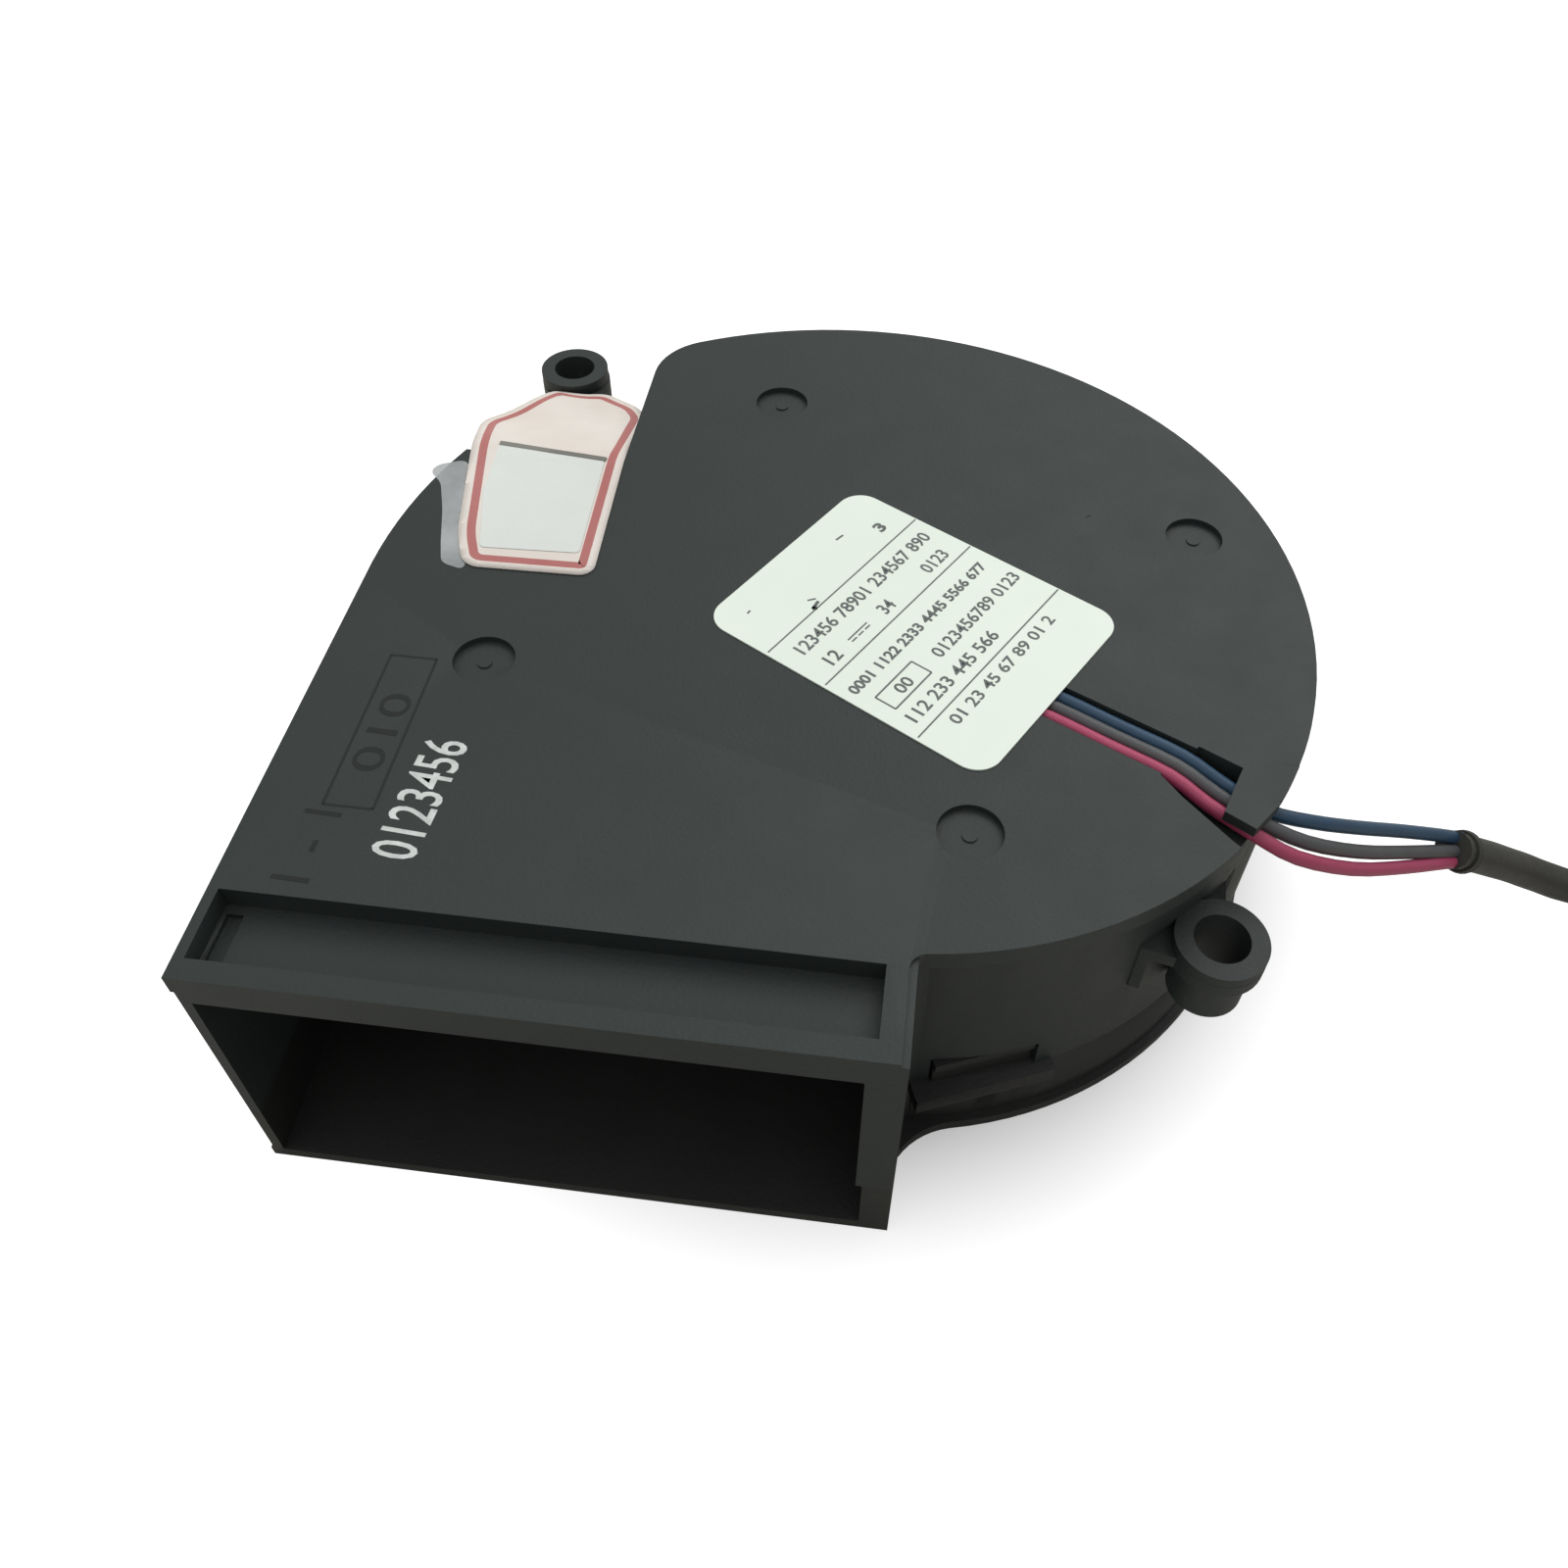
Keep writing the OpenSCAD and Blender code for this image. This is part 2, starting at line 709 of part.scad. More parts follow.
module stator_core() {
    color([0.5, 0.5, 0.52]) slab(core_base, core_top) tooth_plan(tooth_w, core_hub_r, stator_r, shoe_t);
}

module bobbin_wall_plan() {
    r = stator_r - shoe_t;
    intersection() {
        difference() {
            circle(r);
            circle(r - bobbin_wall_t);
        }
        for (k = [0:3]) wedge_about(90 * k, 30);
    }
}

module lower_insulator() {
    color([0.9, 0.88, 0.8]) {
        slab(core_base - bobbin_t, core_base) tooth_plan(tooth_w, core_hub_r, stator_r - 0.4, shoe_t);
        slab(core_base - bobbin_wall + 0.4, core_base) bobbin_wall_plan();
    }
}

module upper_insulator() {
    color([0.9, 0.88, 0.8]) {
        slab(core_top, core_top + bobbin_t) tooth_plan(tooth_w, core_hub_r, stator_r - 0.4, shoe_t);
        slab(core_top, core_top + bobbin_t + bobbin_wall) bobbin_wall_plan();
    }
}

module windings() {
    r0 = core_hub_r + 0.5;
    corner_r = stator_r - shoe_t - bobbin_wall_t - coil_gap;
    half_w = tooth_w / 2 + coil_t;
    r1 = sqrt(corner_r * corner_r - half_w * half_w);
    h = core_top - core_base + 2 * bobbin_t;
    color([0.72, 0.42, 0.2]) for (k = [0:3]) rotate([0, 0, 90 * k]) difference() {
        translate([r0, -tooth_w / 2 - coil_t, core_base - bobbin_t - coil_t])
            cube([r1 - r0, tooth_w + 2 * coil_t, h + 2 * coil_t]);
        translate([r0 - 1, -tooth_w / 2, core_base - bobbin_t]) cube([r1 - r0 + 2, tooth_w, h]);
    }
}

module circuit_board() {
    color([0.1, 0.35, 0.2]) ring(board_base, board_top, board_in_r, board_r);
}

module hall_sensor() {
    color([0.1, 0.1, 0.1]) rotate([0, 0, 45])
        translate([board_r - 4, -2, board_base - 1.5]) cube([3, 4, 1.5]);
}

module driver_chip() {
    color([0.1, 0.1, 0.1]) {
        translate([-2.5, board_r - 5.6, board_top]) cube([5, 4, 1.5]);
        for (x = [-1.9, -0.65, 0.65, 1.9])
            translate([x - 0.2, board_r - 6.4, board_top]) cube([0.4, 5.6, 0.3]);
    }
}

module capacitor() {
    color([0.2, 0.25, 0.35]) translate([cap_r + 0.8 - board_r, -1, board_top])
        cylinder(r = cap_r, h = cap_h);
}

// ---------- label and sticker ----------

module label() {
    color([0.85, 0.88, 0.8]) translate([label_c[0], label_c[1], 0]) rotate([0, 0, label_turn])
        slab(body_h, body_h + label_t) round_box(-label_size[0] / 2, -label_size[1] / 2,
            label_size[0] / 2, label_size[1] / 2, label_corner);
}

module ear_sticker() {
    lean = atan((body_h - ear_top) / flap_run);
    color([0.88, 0.86, 0.83]) translate([notch_x, notch_y, body_h]) {
        linear_extrude(sticker_t) polygon(sticker_flat);
        rotate([-lean, 0, 0]) linear_extrude(sticker_t) polygon(flap);
    }
}

// ---------- leads ----------

module lead_blue() {
    color([0.15, 0.3, 0.6]) tube_along(route_blue, 3, lead_r, 8, lead_side);
}

module lead_grey() {
    color([0.5, 0.5, 0.5]) tube_along(route_grey, 3, lead_r, 8, lead_side);
}

module lead_red() {
    color([0.7, 0.2, 0.25]) tube_along(route_red, 3, lead_r, 8, lead_side);
}

module sleeve() {
    color([0.08, 0.08, 0.08]) tube_along(route_sleeve, 3, sleeve_r, 8, [0, 0, 1]);
}

module sleeve_tie() {
    color([0.1, 0.1, 0.1]) translate(sleeve_start + [2.2, 1.06, -1.6]) rotate([0, 0, 25.5]) rotate([0, 124, 0])
        translate([0, 0, -tie_h / 2]) cylinder(r = tie_r, h = tie_h);
}

module sleeve_coil() {
    color([0.08, 0.08, 0.08]) translate(coil_c) rotate_extrude()
        round_box(coil_in, 0, coil_out, coil_h, coil_edge);
}

// route of one tail, offset at the sleeve and then at the connector
function tail_route(side) =
    let (n = len(tail_heights) - 1, c = tail_c,
        bend = [for (i = [0:n]) let (turn = tail_from + (tail_to - tail_from) * i / n,
            r = tail_r + side * (lead_pitch + (pin_pitch - lead_pitch) * i / n))
            [c[0] + r * cos(turn), c[1] + r * sin(turn), tail_heights[i]]])
    concat(bend, [bend[n] - [0, tail_reach, 0]]);

module lead_tails() {
    color([0.4, 0.35, 0.4]) for (side = [-1:1]) tube_along(tail_route(side), 3, lead_r, 8, [0, 0, 1]);
}

module connector() {
    color([0.9, 0.9, 0.86]) translate([plug_c[0], plug_c[1], 0]) difference() {
        translate([-plug_size[0] / 2, -plug_size[1] / 2, 0]) cube(plug_size);
        for (k = [-1:1]) translate([k * pin_pitch - pin_bore / 2, -plug_size[1], pin_z - pin_bore / 2])
            cube([pin_bore, 2 * plug_size[1], pin_bore]);
    }
}

module terminals() {
    color([0.75, 0.7, 0.5]) translate([plug_c[0], plug_c[1], 0])
        for (k = [-1:1]) difference() {
            translate([k * pin_pitch - pin_bore / 2, -4.6, pin_z - pin_bore / 2])
                cube([pin_bore, 9.2, pin_bore]);
            translate([k * pin_pitch - 0.45, -2, pin_z - 0.45]) cube([0.9, 9, 0.9]);
        }
}

housing();
inlet_cover();
impeller();
rotor_yoke();
magnet_ring();
shaft();
preload_spring();
retaining_clip();
thrust_washer();
lower_outer_ring();
lower_inner_ring();
lower_balls();
upper_outer_ring();
upper_inner_ring();
upper_balls();
bearing_tube();
stator_core();
lower_insulator();
upper_insulator();
windings();
circuit_board();
hall_sensor();
driver_chip();
capacitor();
label();
ear_sticker();
lead_blue();
lead_grey();
lead_red();
sleeve();
sleeve_tie();
sleeve_coil();
lead_tails();
connector();
terminals();
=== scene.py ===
import bpy
import bmesh
import math
from mathutils import Matrix, Vector


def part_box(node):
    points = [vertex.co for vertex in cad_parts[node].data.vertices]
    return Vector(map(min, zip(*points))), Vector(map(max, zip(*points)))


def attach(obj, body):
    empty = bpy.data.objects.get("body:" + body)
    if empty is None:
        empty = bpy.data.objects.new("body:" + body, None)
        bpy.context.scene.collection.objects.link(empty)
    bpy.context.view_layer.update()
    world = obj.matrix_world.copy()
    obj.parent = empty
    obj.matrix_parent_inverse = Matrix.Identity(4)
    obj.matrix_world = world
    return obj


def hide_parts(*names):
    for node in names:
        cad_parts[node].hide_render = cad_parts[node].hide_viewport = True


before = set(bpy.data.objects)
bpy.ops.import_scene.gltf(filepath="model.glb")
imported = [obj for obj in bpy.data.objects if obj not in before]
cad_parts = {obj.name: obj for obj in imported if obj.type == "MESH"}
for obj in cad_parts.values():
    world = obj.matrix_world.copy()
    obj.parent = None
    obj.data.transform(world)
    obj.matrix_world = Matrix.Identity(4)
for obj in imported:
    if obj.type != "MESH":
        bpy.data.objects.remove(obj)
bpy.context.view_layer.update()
mm = 0.001  # sizes are in millimetres and angles in degrees, unless a line says otherwise


def report(stage):
    print("blower:", stage)


def topOf(node):
    # the height of a node's top, in millimetres
    return round(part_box(node)[1][2] / mm, 3)


faceTop = topOf("housing")
labelTop = topOf("label")
# the housing's large arc, and the tighter arc beside the outlet
scroll = {"centre": (-3.5, 3.0), "radius": 48.0}
throat = {"centre": (3.842, 0.546), "tabEdge": 40.35, "webEdge": 40.42}


def toMetres(points):
    return [Vector(p) * mm for p in points]


def onCircle(centre, radius, degrees):
    turn = math.radians(degrees)
    return centre[0] + radius * math.cos(turn), centre[1] + radius * math.sin(turn)


def arc(centre, radius, start, stop, steps):
    return [onCircle(centre, radius, start + (stop - start) * i / steps) for i in range(steps + 1)]


def shifted(centre, offsets):
    return [(centre[0] + x, centre[1] + y) for x, y in offsets]


def turned(centre, offset, degrees):
    # the point at an offset from a centre, along axes turned by an angle
    turn = math.radians(degrees)
    along, across = offset
    return (centre[0] + along * math.cos(turn) - across * math.sin(turn),
            centre[1] + along * math.sin(turn) + across * math.cos(turn))


def smoothRoute(points, steps):
    # the same curve through the points that the source of the part uses
    out = []
    for i in range(len(points) - 1):
        a, b, c = points[max(i - 1, 0)], points[i], points[i + 1]
        d = points[min(i + 2, len(points) - 1)]
        for k in range(steps):
            t = k / steps
            out.append(0.5 * (2 * b + (c - a) * t + (2 * a - 5 * b + 4 * c - d) * t * t
                              + (3 * b - a - 3 * c + d) * t * t * t))
    out.append(points[-1].copy())
    return out


def routeLength(points):
    return sum((b - a).length for a, b in zip(points, points[1:]))


def sideOf(points, i):
    # unit vectors to the side of a route and along it
    along = points[min(i + 1, len(points) - 1)] - points[max(i - 1, 0)]
    return along.cross(Vector((0, 0, 1))).normalized(), along.normalized()


def newObject(name, data):
    made = bpy.data.objects.new(name, data)
    bpy.context.scene.collection.objects.link(made)
    return made


def newPiece(name, mesh, body, slotName, *materials):
    piece = newObject(name, mesh)
    for material in materials:
        piece.data.materials.append(material)
    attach(piece, body)
    return piece


def dress(node, material):
    for slotNow in bpy.data.objects[node].material_slots:
        slotNow.material = material


def meshFrom(bm, name, smoothAngle=None):
    mesh = bpy.data.meshes.new(name)
    bm.to_mesh(mesh)
    bm.free()
    if smoothAngle is not None:
        mesh.shade_smooth()
        mesh.set_sharp_from_angle(angle=math.radians(smoothAngle))
    return mesh


def tubeCurve(name, route, radius, radii=None, rings=4):
    data = bpy.data.curves.new(name, "CURVE")
    data.dimensions = "3D"
    data.bevel_depth = radius
    data.bevel_resolution = rings
    data.use_fill_caps = True
    line = data.splines.new("POLY")
    line.points.add(len(route) - 1)
    for i, p in enumerate(route):
        line.points[i].co = (*p, 1)
        line.points[i].radius = 1 if radii is None else radii[i]
    line.use_smooth = True
    return data


class Wire:
    # a node's output that can be used in sums, products and comparisons
    def __init__(self, shading, socket):
        self.shading = shading
        self.socket = socket

    def blend(self, operation, first, second):
        return self.shading.node("ShaderNodeMath", {"operation": operation}, {0: first, 1: second})

    def __add__(self, other):
        return self.blend("ADD", self, other)

    def __radd__(self, other):
        return self.blend("ADD", other, self)

    def __mul__(self, other):
        return self.blend("MULTIPLY", self, other)

    def __rmul__(self, other):
        return self.blend("MULTIPLY", other, self)

    def __lt__(self, other):
        return self.blend("LESS_THAN", self, other)

    def __gt__(self, other):
        return self.blend("GREATER_THAN", self, other)


class Shading:
    # the nodes of a material or of the world
    def __init__(self, owner):
        owner.use_nodes = True
        self.tree = owner.node_tree
        self.tree.nodes.clear()

    def node(self, kind, settings=None, links=None, output=0):
        made = self.tree.nodes.new(kind)
        for key, value in (settings or {}).items():
            setattr(made, key, value)
        for key, value in (links or {}).items():
            if isinstance(value, Wire):
                self.tree.links.new(value.socket, made.inputs[key])
            else:
                made.inputs[key].default_value = value
        return Wire(self, made.outputs[output]) if made.outputs else made


class Paint(Shading):
    # one material: a surface with whatever feeds it
    def __init__(self, name, **constants):
        self.material = bpy.data.materials.new(name)
        super().__init__(self.material)
        plain = {key.replace("_", " "): value for key, value in constants.items()}
        self.surface = self.node("ShaderNodeBsdfPrincipled", None, plain)
        self.out = self.node("ShaderNodeOutputMaterial", None, {0: self.surface})

    def places(self, scale=(1, 1, 1)):
        coords = self.node("ShaderNodeTexCoord", output="Object")
        return self.node("ShaderNodeMapping", None, {"Vector": coords, "Scale": scale})

    def noise(self, where, scale, detail=3.0, rough=0.55):
        return self.node("ShaderNodeTexNoise", None,
                         {"Vector": where, "Scale": scale, "Detail": detail, "Roughness": rough}, "Fac")

    def bands(self, where, scale, distortion):
        return self.node("ShaderNodeTexWave", {"wave_type": "BANDS", "bands_direction": "Z"},
                         {"Vector": where, "Scale": scale, "Distortion": distortion}, "Fac")

    def mixed(self, share, first, second):
        # the colour sockets of a Mix node are its inputs 6 and 7 and its output 2
        return self.node("ShaderNodeMix", {"data_type": "RGBA"}, {0: share, 6: first, 7: second}, 2)

    def feed(self, **links):
        for key, value in links.items():
            self.tree.links.new(value.socket, self.surface.socket.node.inputs[key.replace("_", " ")])

    def bump(self, height, strength, distance):
        self.feed(Normal=self.node("ShaderNodeBump", None,
                                   {"Strength": strength, "Distance": distance, "Height": height}))

    def shine(self, share, strength):
        # a share of the surface is a plain white glow
        glow = self.node("ShaderNodeEmission", None, {"Strength": strength})
        both = self.node("ShaderNodeMixShader", None, {0: share, 1: self.surface, 2: glow})
        self.tree.links.new(both.socket, self.out.inputs[0])


def grey(value):
    return (value, value, value, 1)


view = {  # place in metres, axes as unit vectors, lens in millimetres
    "place": (0.004672, -0.100088, 0.129857),
    "right": (0.992797, 0.118415, 0.018214),
    "up": (-0.099789, 0.733167, 0.672688),
    "back": (0.066303, -0.66966, 0.739702),
    "lens": 31.307,
    "shift": (-0.02275, -0.0554),
    "clip": (0.005, 10),
}
cameraData = bpy.data.cameras.new("view")
cameraData.lens = view["lens"]
cameraData.sensor_width = 36
cameraData.shift_x, cameraData.shift_y = view["shift"]
cameraData.clip_start, cameraData.clip_end = view["clip"]
camera = newObject("view", cameraData)
axes = Matrix((view["right"], view["up"], view["back"])).transposed().to_4x4()
camera.matrix_world = Matrix.Translation(view["place"]) @ axes
bpy.context.scene.camera = camera
report("camera")

# points of the leads and the sleeve, the same as in the part's source
leadRoutes = {
    "blue": [[8.4, -3.4, 25.8], [10.2, -4.3, 27.4], [12.8, -5.5, 30], [15.8, -7, 31.9],
             [19.4, -8.8, 32.2], [25, -11.7, 32.2], [30.5, -14.5, 32.2], [34, -16.6, 31.5],
             [38.2, -18.9, 30.8], [42.5, -19, 30], [48, -16.6, 26.9], [54, -13.3, 23],
             [60.2, -10.6, 19.6], [63.4, -9.3, 17.6]],
    "grey": [[7.8, -4.7, 25.8], [9.5, -5.5, 27.4], [12.2, -6.8, 30], [15.1, -8.3, 31.9],
             [18.8, -10.1, 32.2], [24.4, -13, 32.2], [29.9, -15.8, 32.2], [33.4, -18, 31.5],
             [37.5, -20.3, 30.8], [42, -21, 29.4], [48, -18.6, 25.8], [54, -15.2, 22.1],
             [60, -12, 19], [63.2, -10.4, 17.2]],
    "red": [[7.1, -5.9, 25.8], [8.9, -6.8, 27.4], [11.5, -8.1, 30], [14.5, -9.6, 31.9],
            [18.2, -11.4, 32.2], [23.8, -14.3, 32.2], [29.2, -17.1, 32.2], [32.6, -19.4, 31.5],
            [36.7, -21.7, 30.8], [41, -22.7, 29.2], [47.4, -20.4, 25.4], [53.8, -16.6, 21.5],
            [60, -12.8, 18.2], [63.2, -11, 16.6]],
}
sleeveRoute = [[60.6, -11.5, 18.7], [66, -8.9, 14.6], [71.6, -6.4, 10.2], [77.4, -4.4, 6],
               [83.4, -3.6, 3.2], [90, -6, 2.1], [97, -12.4, 1.95], [103.1, -17.8, 1.95]]
coil = {
    "centre": (109, 4),
    "height": 1.95,
    "startTurn": -105,
    "turns": 1.43,
    "turnPoints": 28,
    "startRadius": 22.6,
    "pitch": 3.85,
}
tails = {  # the leads' last turn, from the sleeve's end to the plug
    "centre": (114.9, 11),
    "radius": 8,
    "start": 50,
    "stop": 180,
    "heights": (1.95, 1.3, 0.9, 0.8, 1.2, 2.3),
    "sleevePitch": 1.42,
    "pinPitch": 2.5,
    "reach": 1.8,
}
wire = {
    "radius": 0.7,
    "packRadius": 0.82,
    "sleeveRadius": 1.9,
    "sleeveStep": 4,  # the step of the sleeve's line at which the leads are inside
    "exitStep": 9,  # the step of a lead's line at which it leaves the pocket
}
leadFacts = {  # turn round the sleeve's middle, side at the plug, and colours
    "blue": {"packTurn": 150, "side": 1, "dark": (0.012, 0.04, 0.085, 1), "light": (0.04, 0.095, 0.16, 1)},
    "grey": {"packTurn": 270, "side": 0, "dark": (0.055, 0.058, 0.062, 1), "light": (0.12, 0.12, 0.125, 1)},
    "red": {"packTurn": 30, "side": -1, "dark": (0.33, 0.032, 0.095, 1), "light": (0.5, 0.085, 0.17, 1)},
}


def coilRoute():
    count = int(coil["turnPoints"] * coil["turns"])
    out = []
    for i in range(count + 1):
        share = i / count
        radius = coil["startRadius"] - coil["pitch"] * coil["turns"] * share
        place = onCircle(coil["centre"], radius, coil["startTurn"] + 360 * coil["turns"] * share)
        out.append(Vector((*place, coil["height"])))
    return out


sleevePath = smoothRoute([Vector(p) for p in sleeveRoute[:-1]] + coilRoute()[:1], steps=4)
sleevePath = sleevePath[:-1] + smoothRoute(coilRoute(), steps=3)
sleevePath = [p * mm for p in sleevePath]


def tailRoute(side):
    # from the sleeve's end round to the plug, as far as its back face
    steps = len(tails["heights"])
    out = []
    for i in range(1, steps):
        share = i / (steps - 1)
        turn = tails["start"] + (tails["stop"] - tails["start"]) * share
        aside = tails["sleevePitch"] + (tails["pinPitch"] - tails["sleevePitch"]) * share
        place = onCircle(tails["centre"], tails["radius"] + side * aside, turn)
        out.append(Vector((*place, tails["heights"][i])) * mm)
    out.append(out[-1] - Vector((0, tails["reach"] * mm, 0)))
    return out


def leadPath(colour):
    facts = leadFacts[colour]
    turn = math.radians(facts["packTurn"])
    inside = []
    for i in range(wire["sleeveStep"], len(sleevePath)):
        side, along = sideOf(sleevePath, i)
        aside = side * math.cos(turn) + side.cross(along) * math.sin(turn)
        inside.append(sleevePath[i] + aside * wire["packRadius"] * mm)
    start = smoothRoute(toMetres(leadRoutes[colour]), steps=3)
    tail = smoothRoute([inside[-1]] + tailRoute(facts["side"]), steps=3)
    return start + inside + tail[1:]


def insulation(name, dark, light):
    paint = Paint(name, Roughness=0.42, Specular_IOR_Level=0.45)
    where = paint.places()
    cloudy = paint.noise(where, 420)
    grime = paint.noise(where, 90, 4)
    paint.feed(Base_Color=paint.mixed(cloudy * 0.5 + grime * 0.35, dark, light),
               Roughness=0.34 + cloudy * 0.2)
    paint.bump(paint.noise(where, 1500, 2), 0.12, 0.0002)
    return paint.material


def sleeveMaterial():
    paint = Paint("shrinkSleeve", Roughness=0.5)
    where = paint.places()
    fine = paint.noise(where, 900, 2)
    broad = paint.noise(where, 120, 3)
    paint.feed(Base_Color=paint.mixed(broad, (0.024, 0.024, 0.021, 1), (0.05, 0.048, 0.041, 1)),
               Roughness=0.42 + fine * 0.22)
    paint.bump(broad * 0.7 + fine * 0.3, 0.35, 0.0004)
    return paint.material


leadPaths = {colour: leadPath(colour) for colour in leadFacts}
leads = {}
for colour, facts in leadFacts.items():
    name = "lead" + colour.capitalize()
    skin = insulation(colour + "Insulation", facts["dark"], facts["light"])
    curve = tubeCurve(name, leadPaths[colour], wire["radius"] * mm)
    leads[colour] = newPiece(name, curve, "frame", colour + "_insulation", skin)
    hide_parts("lead_" + colour)

sleeveShape = {
    "slim": 0.985,  # share of the radius
    "flare": 0.06,  # at the first end
    "lumps": [(0.01, 1.7, 0), (0.0075, 0.63, 1)],  # height, pace and start of each wave
}


def sleeveSwell(i):
    swell = sleeveShape["slim"] + (sleeveShape["flare"] if i == 0 else 0)
    return swell + sum(height * math.sin(i * pace + start) for height, pace, start in sleeveShape["lumps"])


sleevePaint = sleeveMaterial()
sleeveRadii = [sleeveSwell(i) for i in range(len(sleevePath))]
sleeveCurve = tubeCurve("leadSleeve", sleevePath, wire["sleeveRadius"] * mm, sleeveRadii, rings=5)
sleeve = newPiece("leadSleeve", sleeveCurve, "frame", "sleeve_rubber", sleevePaint)
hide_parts("sleeve", "sleeve_coil")
report("leads")

tie = {  # a soft band with a knot
    "bandRadius": 2.15,
    "bandThick": 0.3,
    "wide": 1.3,
    "swell": (1.0, 1.06, 1.0, 0.9),
    "segments": 28,
    "knot": 0.7,
    "knotShape": (1.3, 0.7, 0.9),
    "knotAside": -0.4,
    "knotStand": 1.05,  # share of the band's radius
    "knotAlong": 0.8,
    "turn": -18,
}


def addBand(bm):
    band = tie["bandRadius"] * mm
    verts = bmesh.ops.create_circle(bm, cap_ends=False, segments=tie["segments"], radius=band)["verts"]
    for grow in tie["swell"]:
        edges = [e for e in bm.edges if all(v in verts for v in e.verts)]
        more = bmesh.ops.extrude_edge_only(bm, edges=edges)
        verts = [g for g in more["geom"] if isinstance(g, bmesh.types.BMVert)]
        bmesh.ops.translate(bm, verts=verts, vec=(0, 0, tie["wide"] / len(tie["swell"]) * mm))
        for v in verts:
            flat = Vector((v.co.x, v.co.y, 0)).normalized() * (grow * band)
            v.co.x, v.co.y = flat.x, flat.y
    bmesh.ops.recalc_face_normals(bm, faces=bm.faces)
    bmesh.ops.solidify(bm, geom=bm.faces[:], thickness=tie["bandThick"] * mm)


def addKnot(bm):
    knot = bmesh.ops.create_icosphere(bm, subdivisions=3, radius=tie["knot"] * mm)
    place = Vector((tie["knotAside"], -tie["bandRadius"] * tie["knotStand"], tie["knotAlong"])) * mm
    bmesh.ops.scale(bm, verts=knot["verts"], vec=tie["knotShape"])
    bmesh.ops.translate(bm, verts=knot["verts"], vec=place)


def tieMesh():
    bm = bmesh.new()
    addBand(bm)
    addKnot(bm)
    side, along = sideOf(sleevePath, 1)
    stand = Matrix((side, side.cross(along), along)).transposed().to_4x4()
    turn = Matrix.Rotation(math.radians(tie["turn"]), 4, "Z")
    bm.transform(Matrix.Translation(sleevePath[1]) @ stand @ turn)
    bmesh.ops.recalc_face_normals(bm, faces=bm.faces)
    return meshFrom(bm, "sleeveTie", smoothAngle=40)


tiePiece = newPiece("sleeveTie", tieMesh(), "frame", "sleeve_rubber", sleevePaint)
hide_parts("sleeve_tie")

plug = bpy.data.objects["connector"]
terminals = bpy.data.objects["terminals"]
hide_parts("lead_tails")
for colour, lead in leads.items():
    path = leadPaths[colour]
    carried = [plug]
    if colour == "grey":
        carried += [terminals, sleeve, tiePiece]
    round(routeLength(path), 4)
report("cords declared")


def mouldedPaint(name, dark, light, roughness):
    paint = Paint(name, Roughness=roughness, Specular_IOR_Level=0.5)
    where = paint.places()
    broad = paint.noise(where, 28, 4, 0.6)
    cloudy = paint.noise(where, 150, 3)
    spark = paint.noise(where, 2600, 2)
    paint.feed(Base_Color=paint.mixed(broad * 0.75 + cloudy * 0.25, dark, light),
               Roughness=roughness - 0.08 + cloudy * 0.16)
    paint.bump(spark * 0.8 + cloudy * 0.2, 0.25, 0.0002)
    return paint.material


housingPaint = mouldedPaint("housingPlastic", (0.0155, 0.0215, 0.0205, 1), (0.027, 0.0335, 0.032, 1), 0.55)
coverPaint = mouldedPaint("coverPlastic", (0.012, 0.0125, 0.0118, 1), (0.02, 0.0205, 0.019, 1), 0.55)
wheelPaint = mouldedPaint("impellerPlastic", (0.01, 0.0105, 0.011, 1), (0.018, 0.019, 0.02, 1), 0.42)


def prism(points, low, high):
    bm = bmesh.new()
    face = bm.faces.new([bm.verts.new((x * mm, y * mm, low * mm)) for x, y in points])
    made = bmesh.ops.extrude_face_region(bm, geom=[face])
    top = [g for g in made["geom"] if isinstance(g, bmesh.types.BMVert)]
    bmesh.ops.translate(bm, verts=top, vec=(0, 0, (high - low) * mm))
    bmesh.ops.recalc_face_normals(bm, faces=bm.faces)
    return meshFrom(bm, "tool")


def box(start, end, low, high):
    return prism([start, (end[0], start[1]), end, (start[0], end[1])], low, high)


def disc(centre, radius, low, high, segments=72):
    bm = bmesh.new()
    bmesh.ops.create_cone(bm, cap_ends=True, segments=segments, radius1=radius * mm, radius2=radius * mm,
                          depth=(high - low) * mm)
    bmesh.ops.translate(bm, verts=bm.verts, vec=(centre[0] * mm, centre[1] * mm, (low + high) / 2 * mm))
    return meshFrom(bm, "tool")


def shaped(mesh, tools):
    # the mesh with the tools added or cut away, in that order
    body = newObject("shaping", mesh)
    helpers = []
    for operation, tool in tools:
        helper = newObject("tool", tool)
        helpers.append(helper)
        step = body.modifiers.new("tool", "BOOLEAN")
        step.object = helper
        step.operation = operation
        step.solver = "EXACT"
    result = bpy.data.meshes.new_from_object(body.evaluated_get(bpy.context.evaluated_depsgraph_get()))
    for item in [body] + helpers:
        bpy.data.objects.remove(item)
    return result


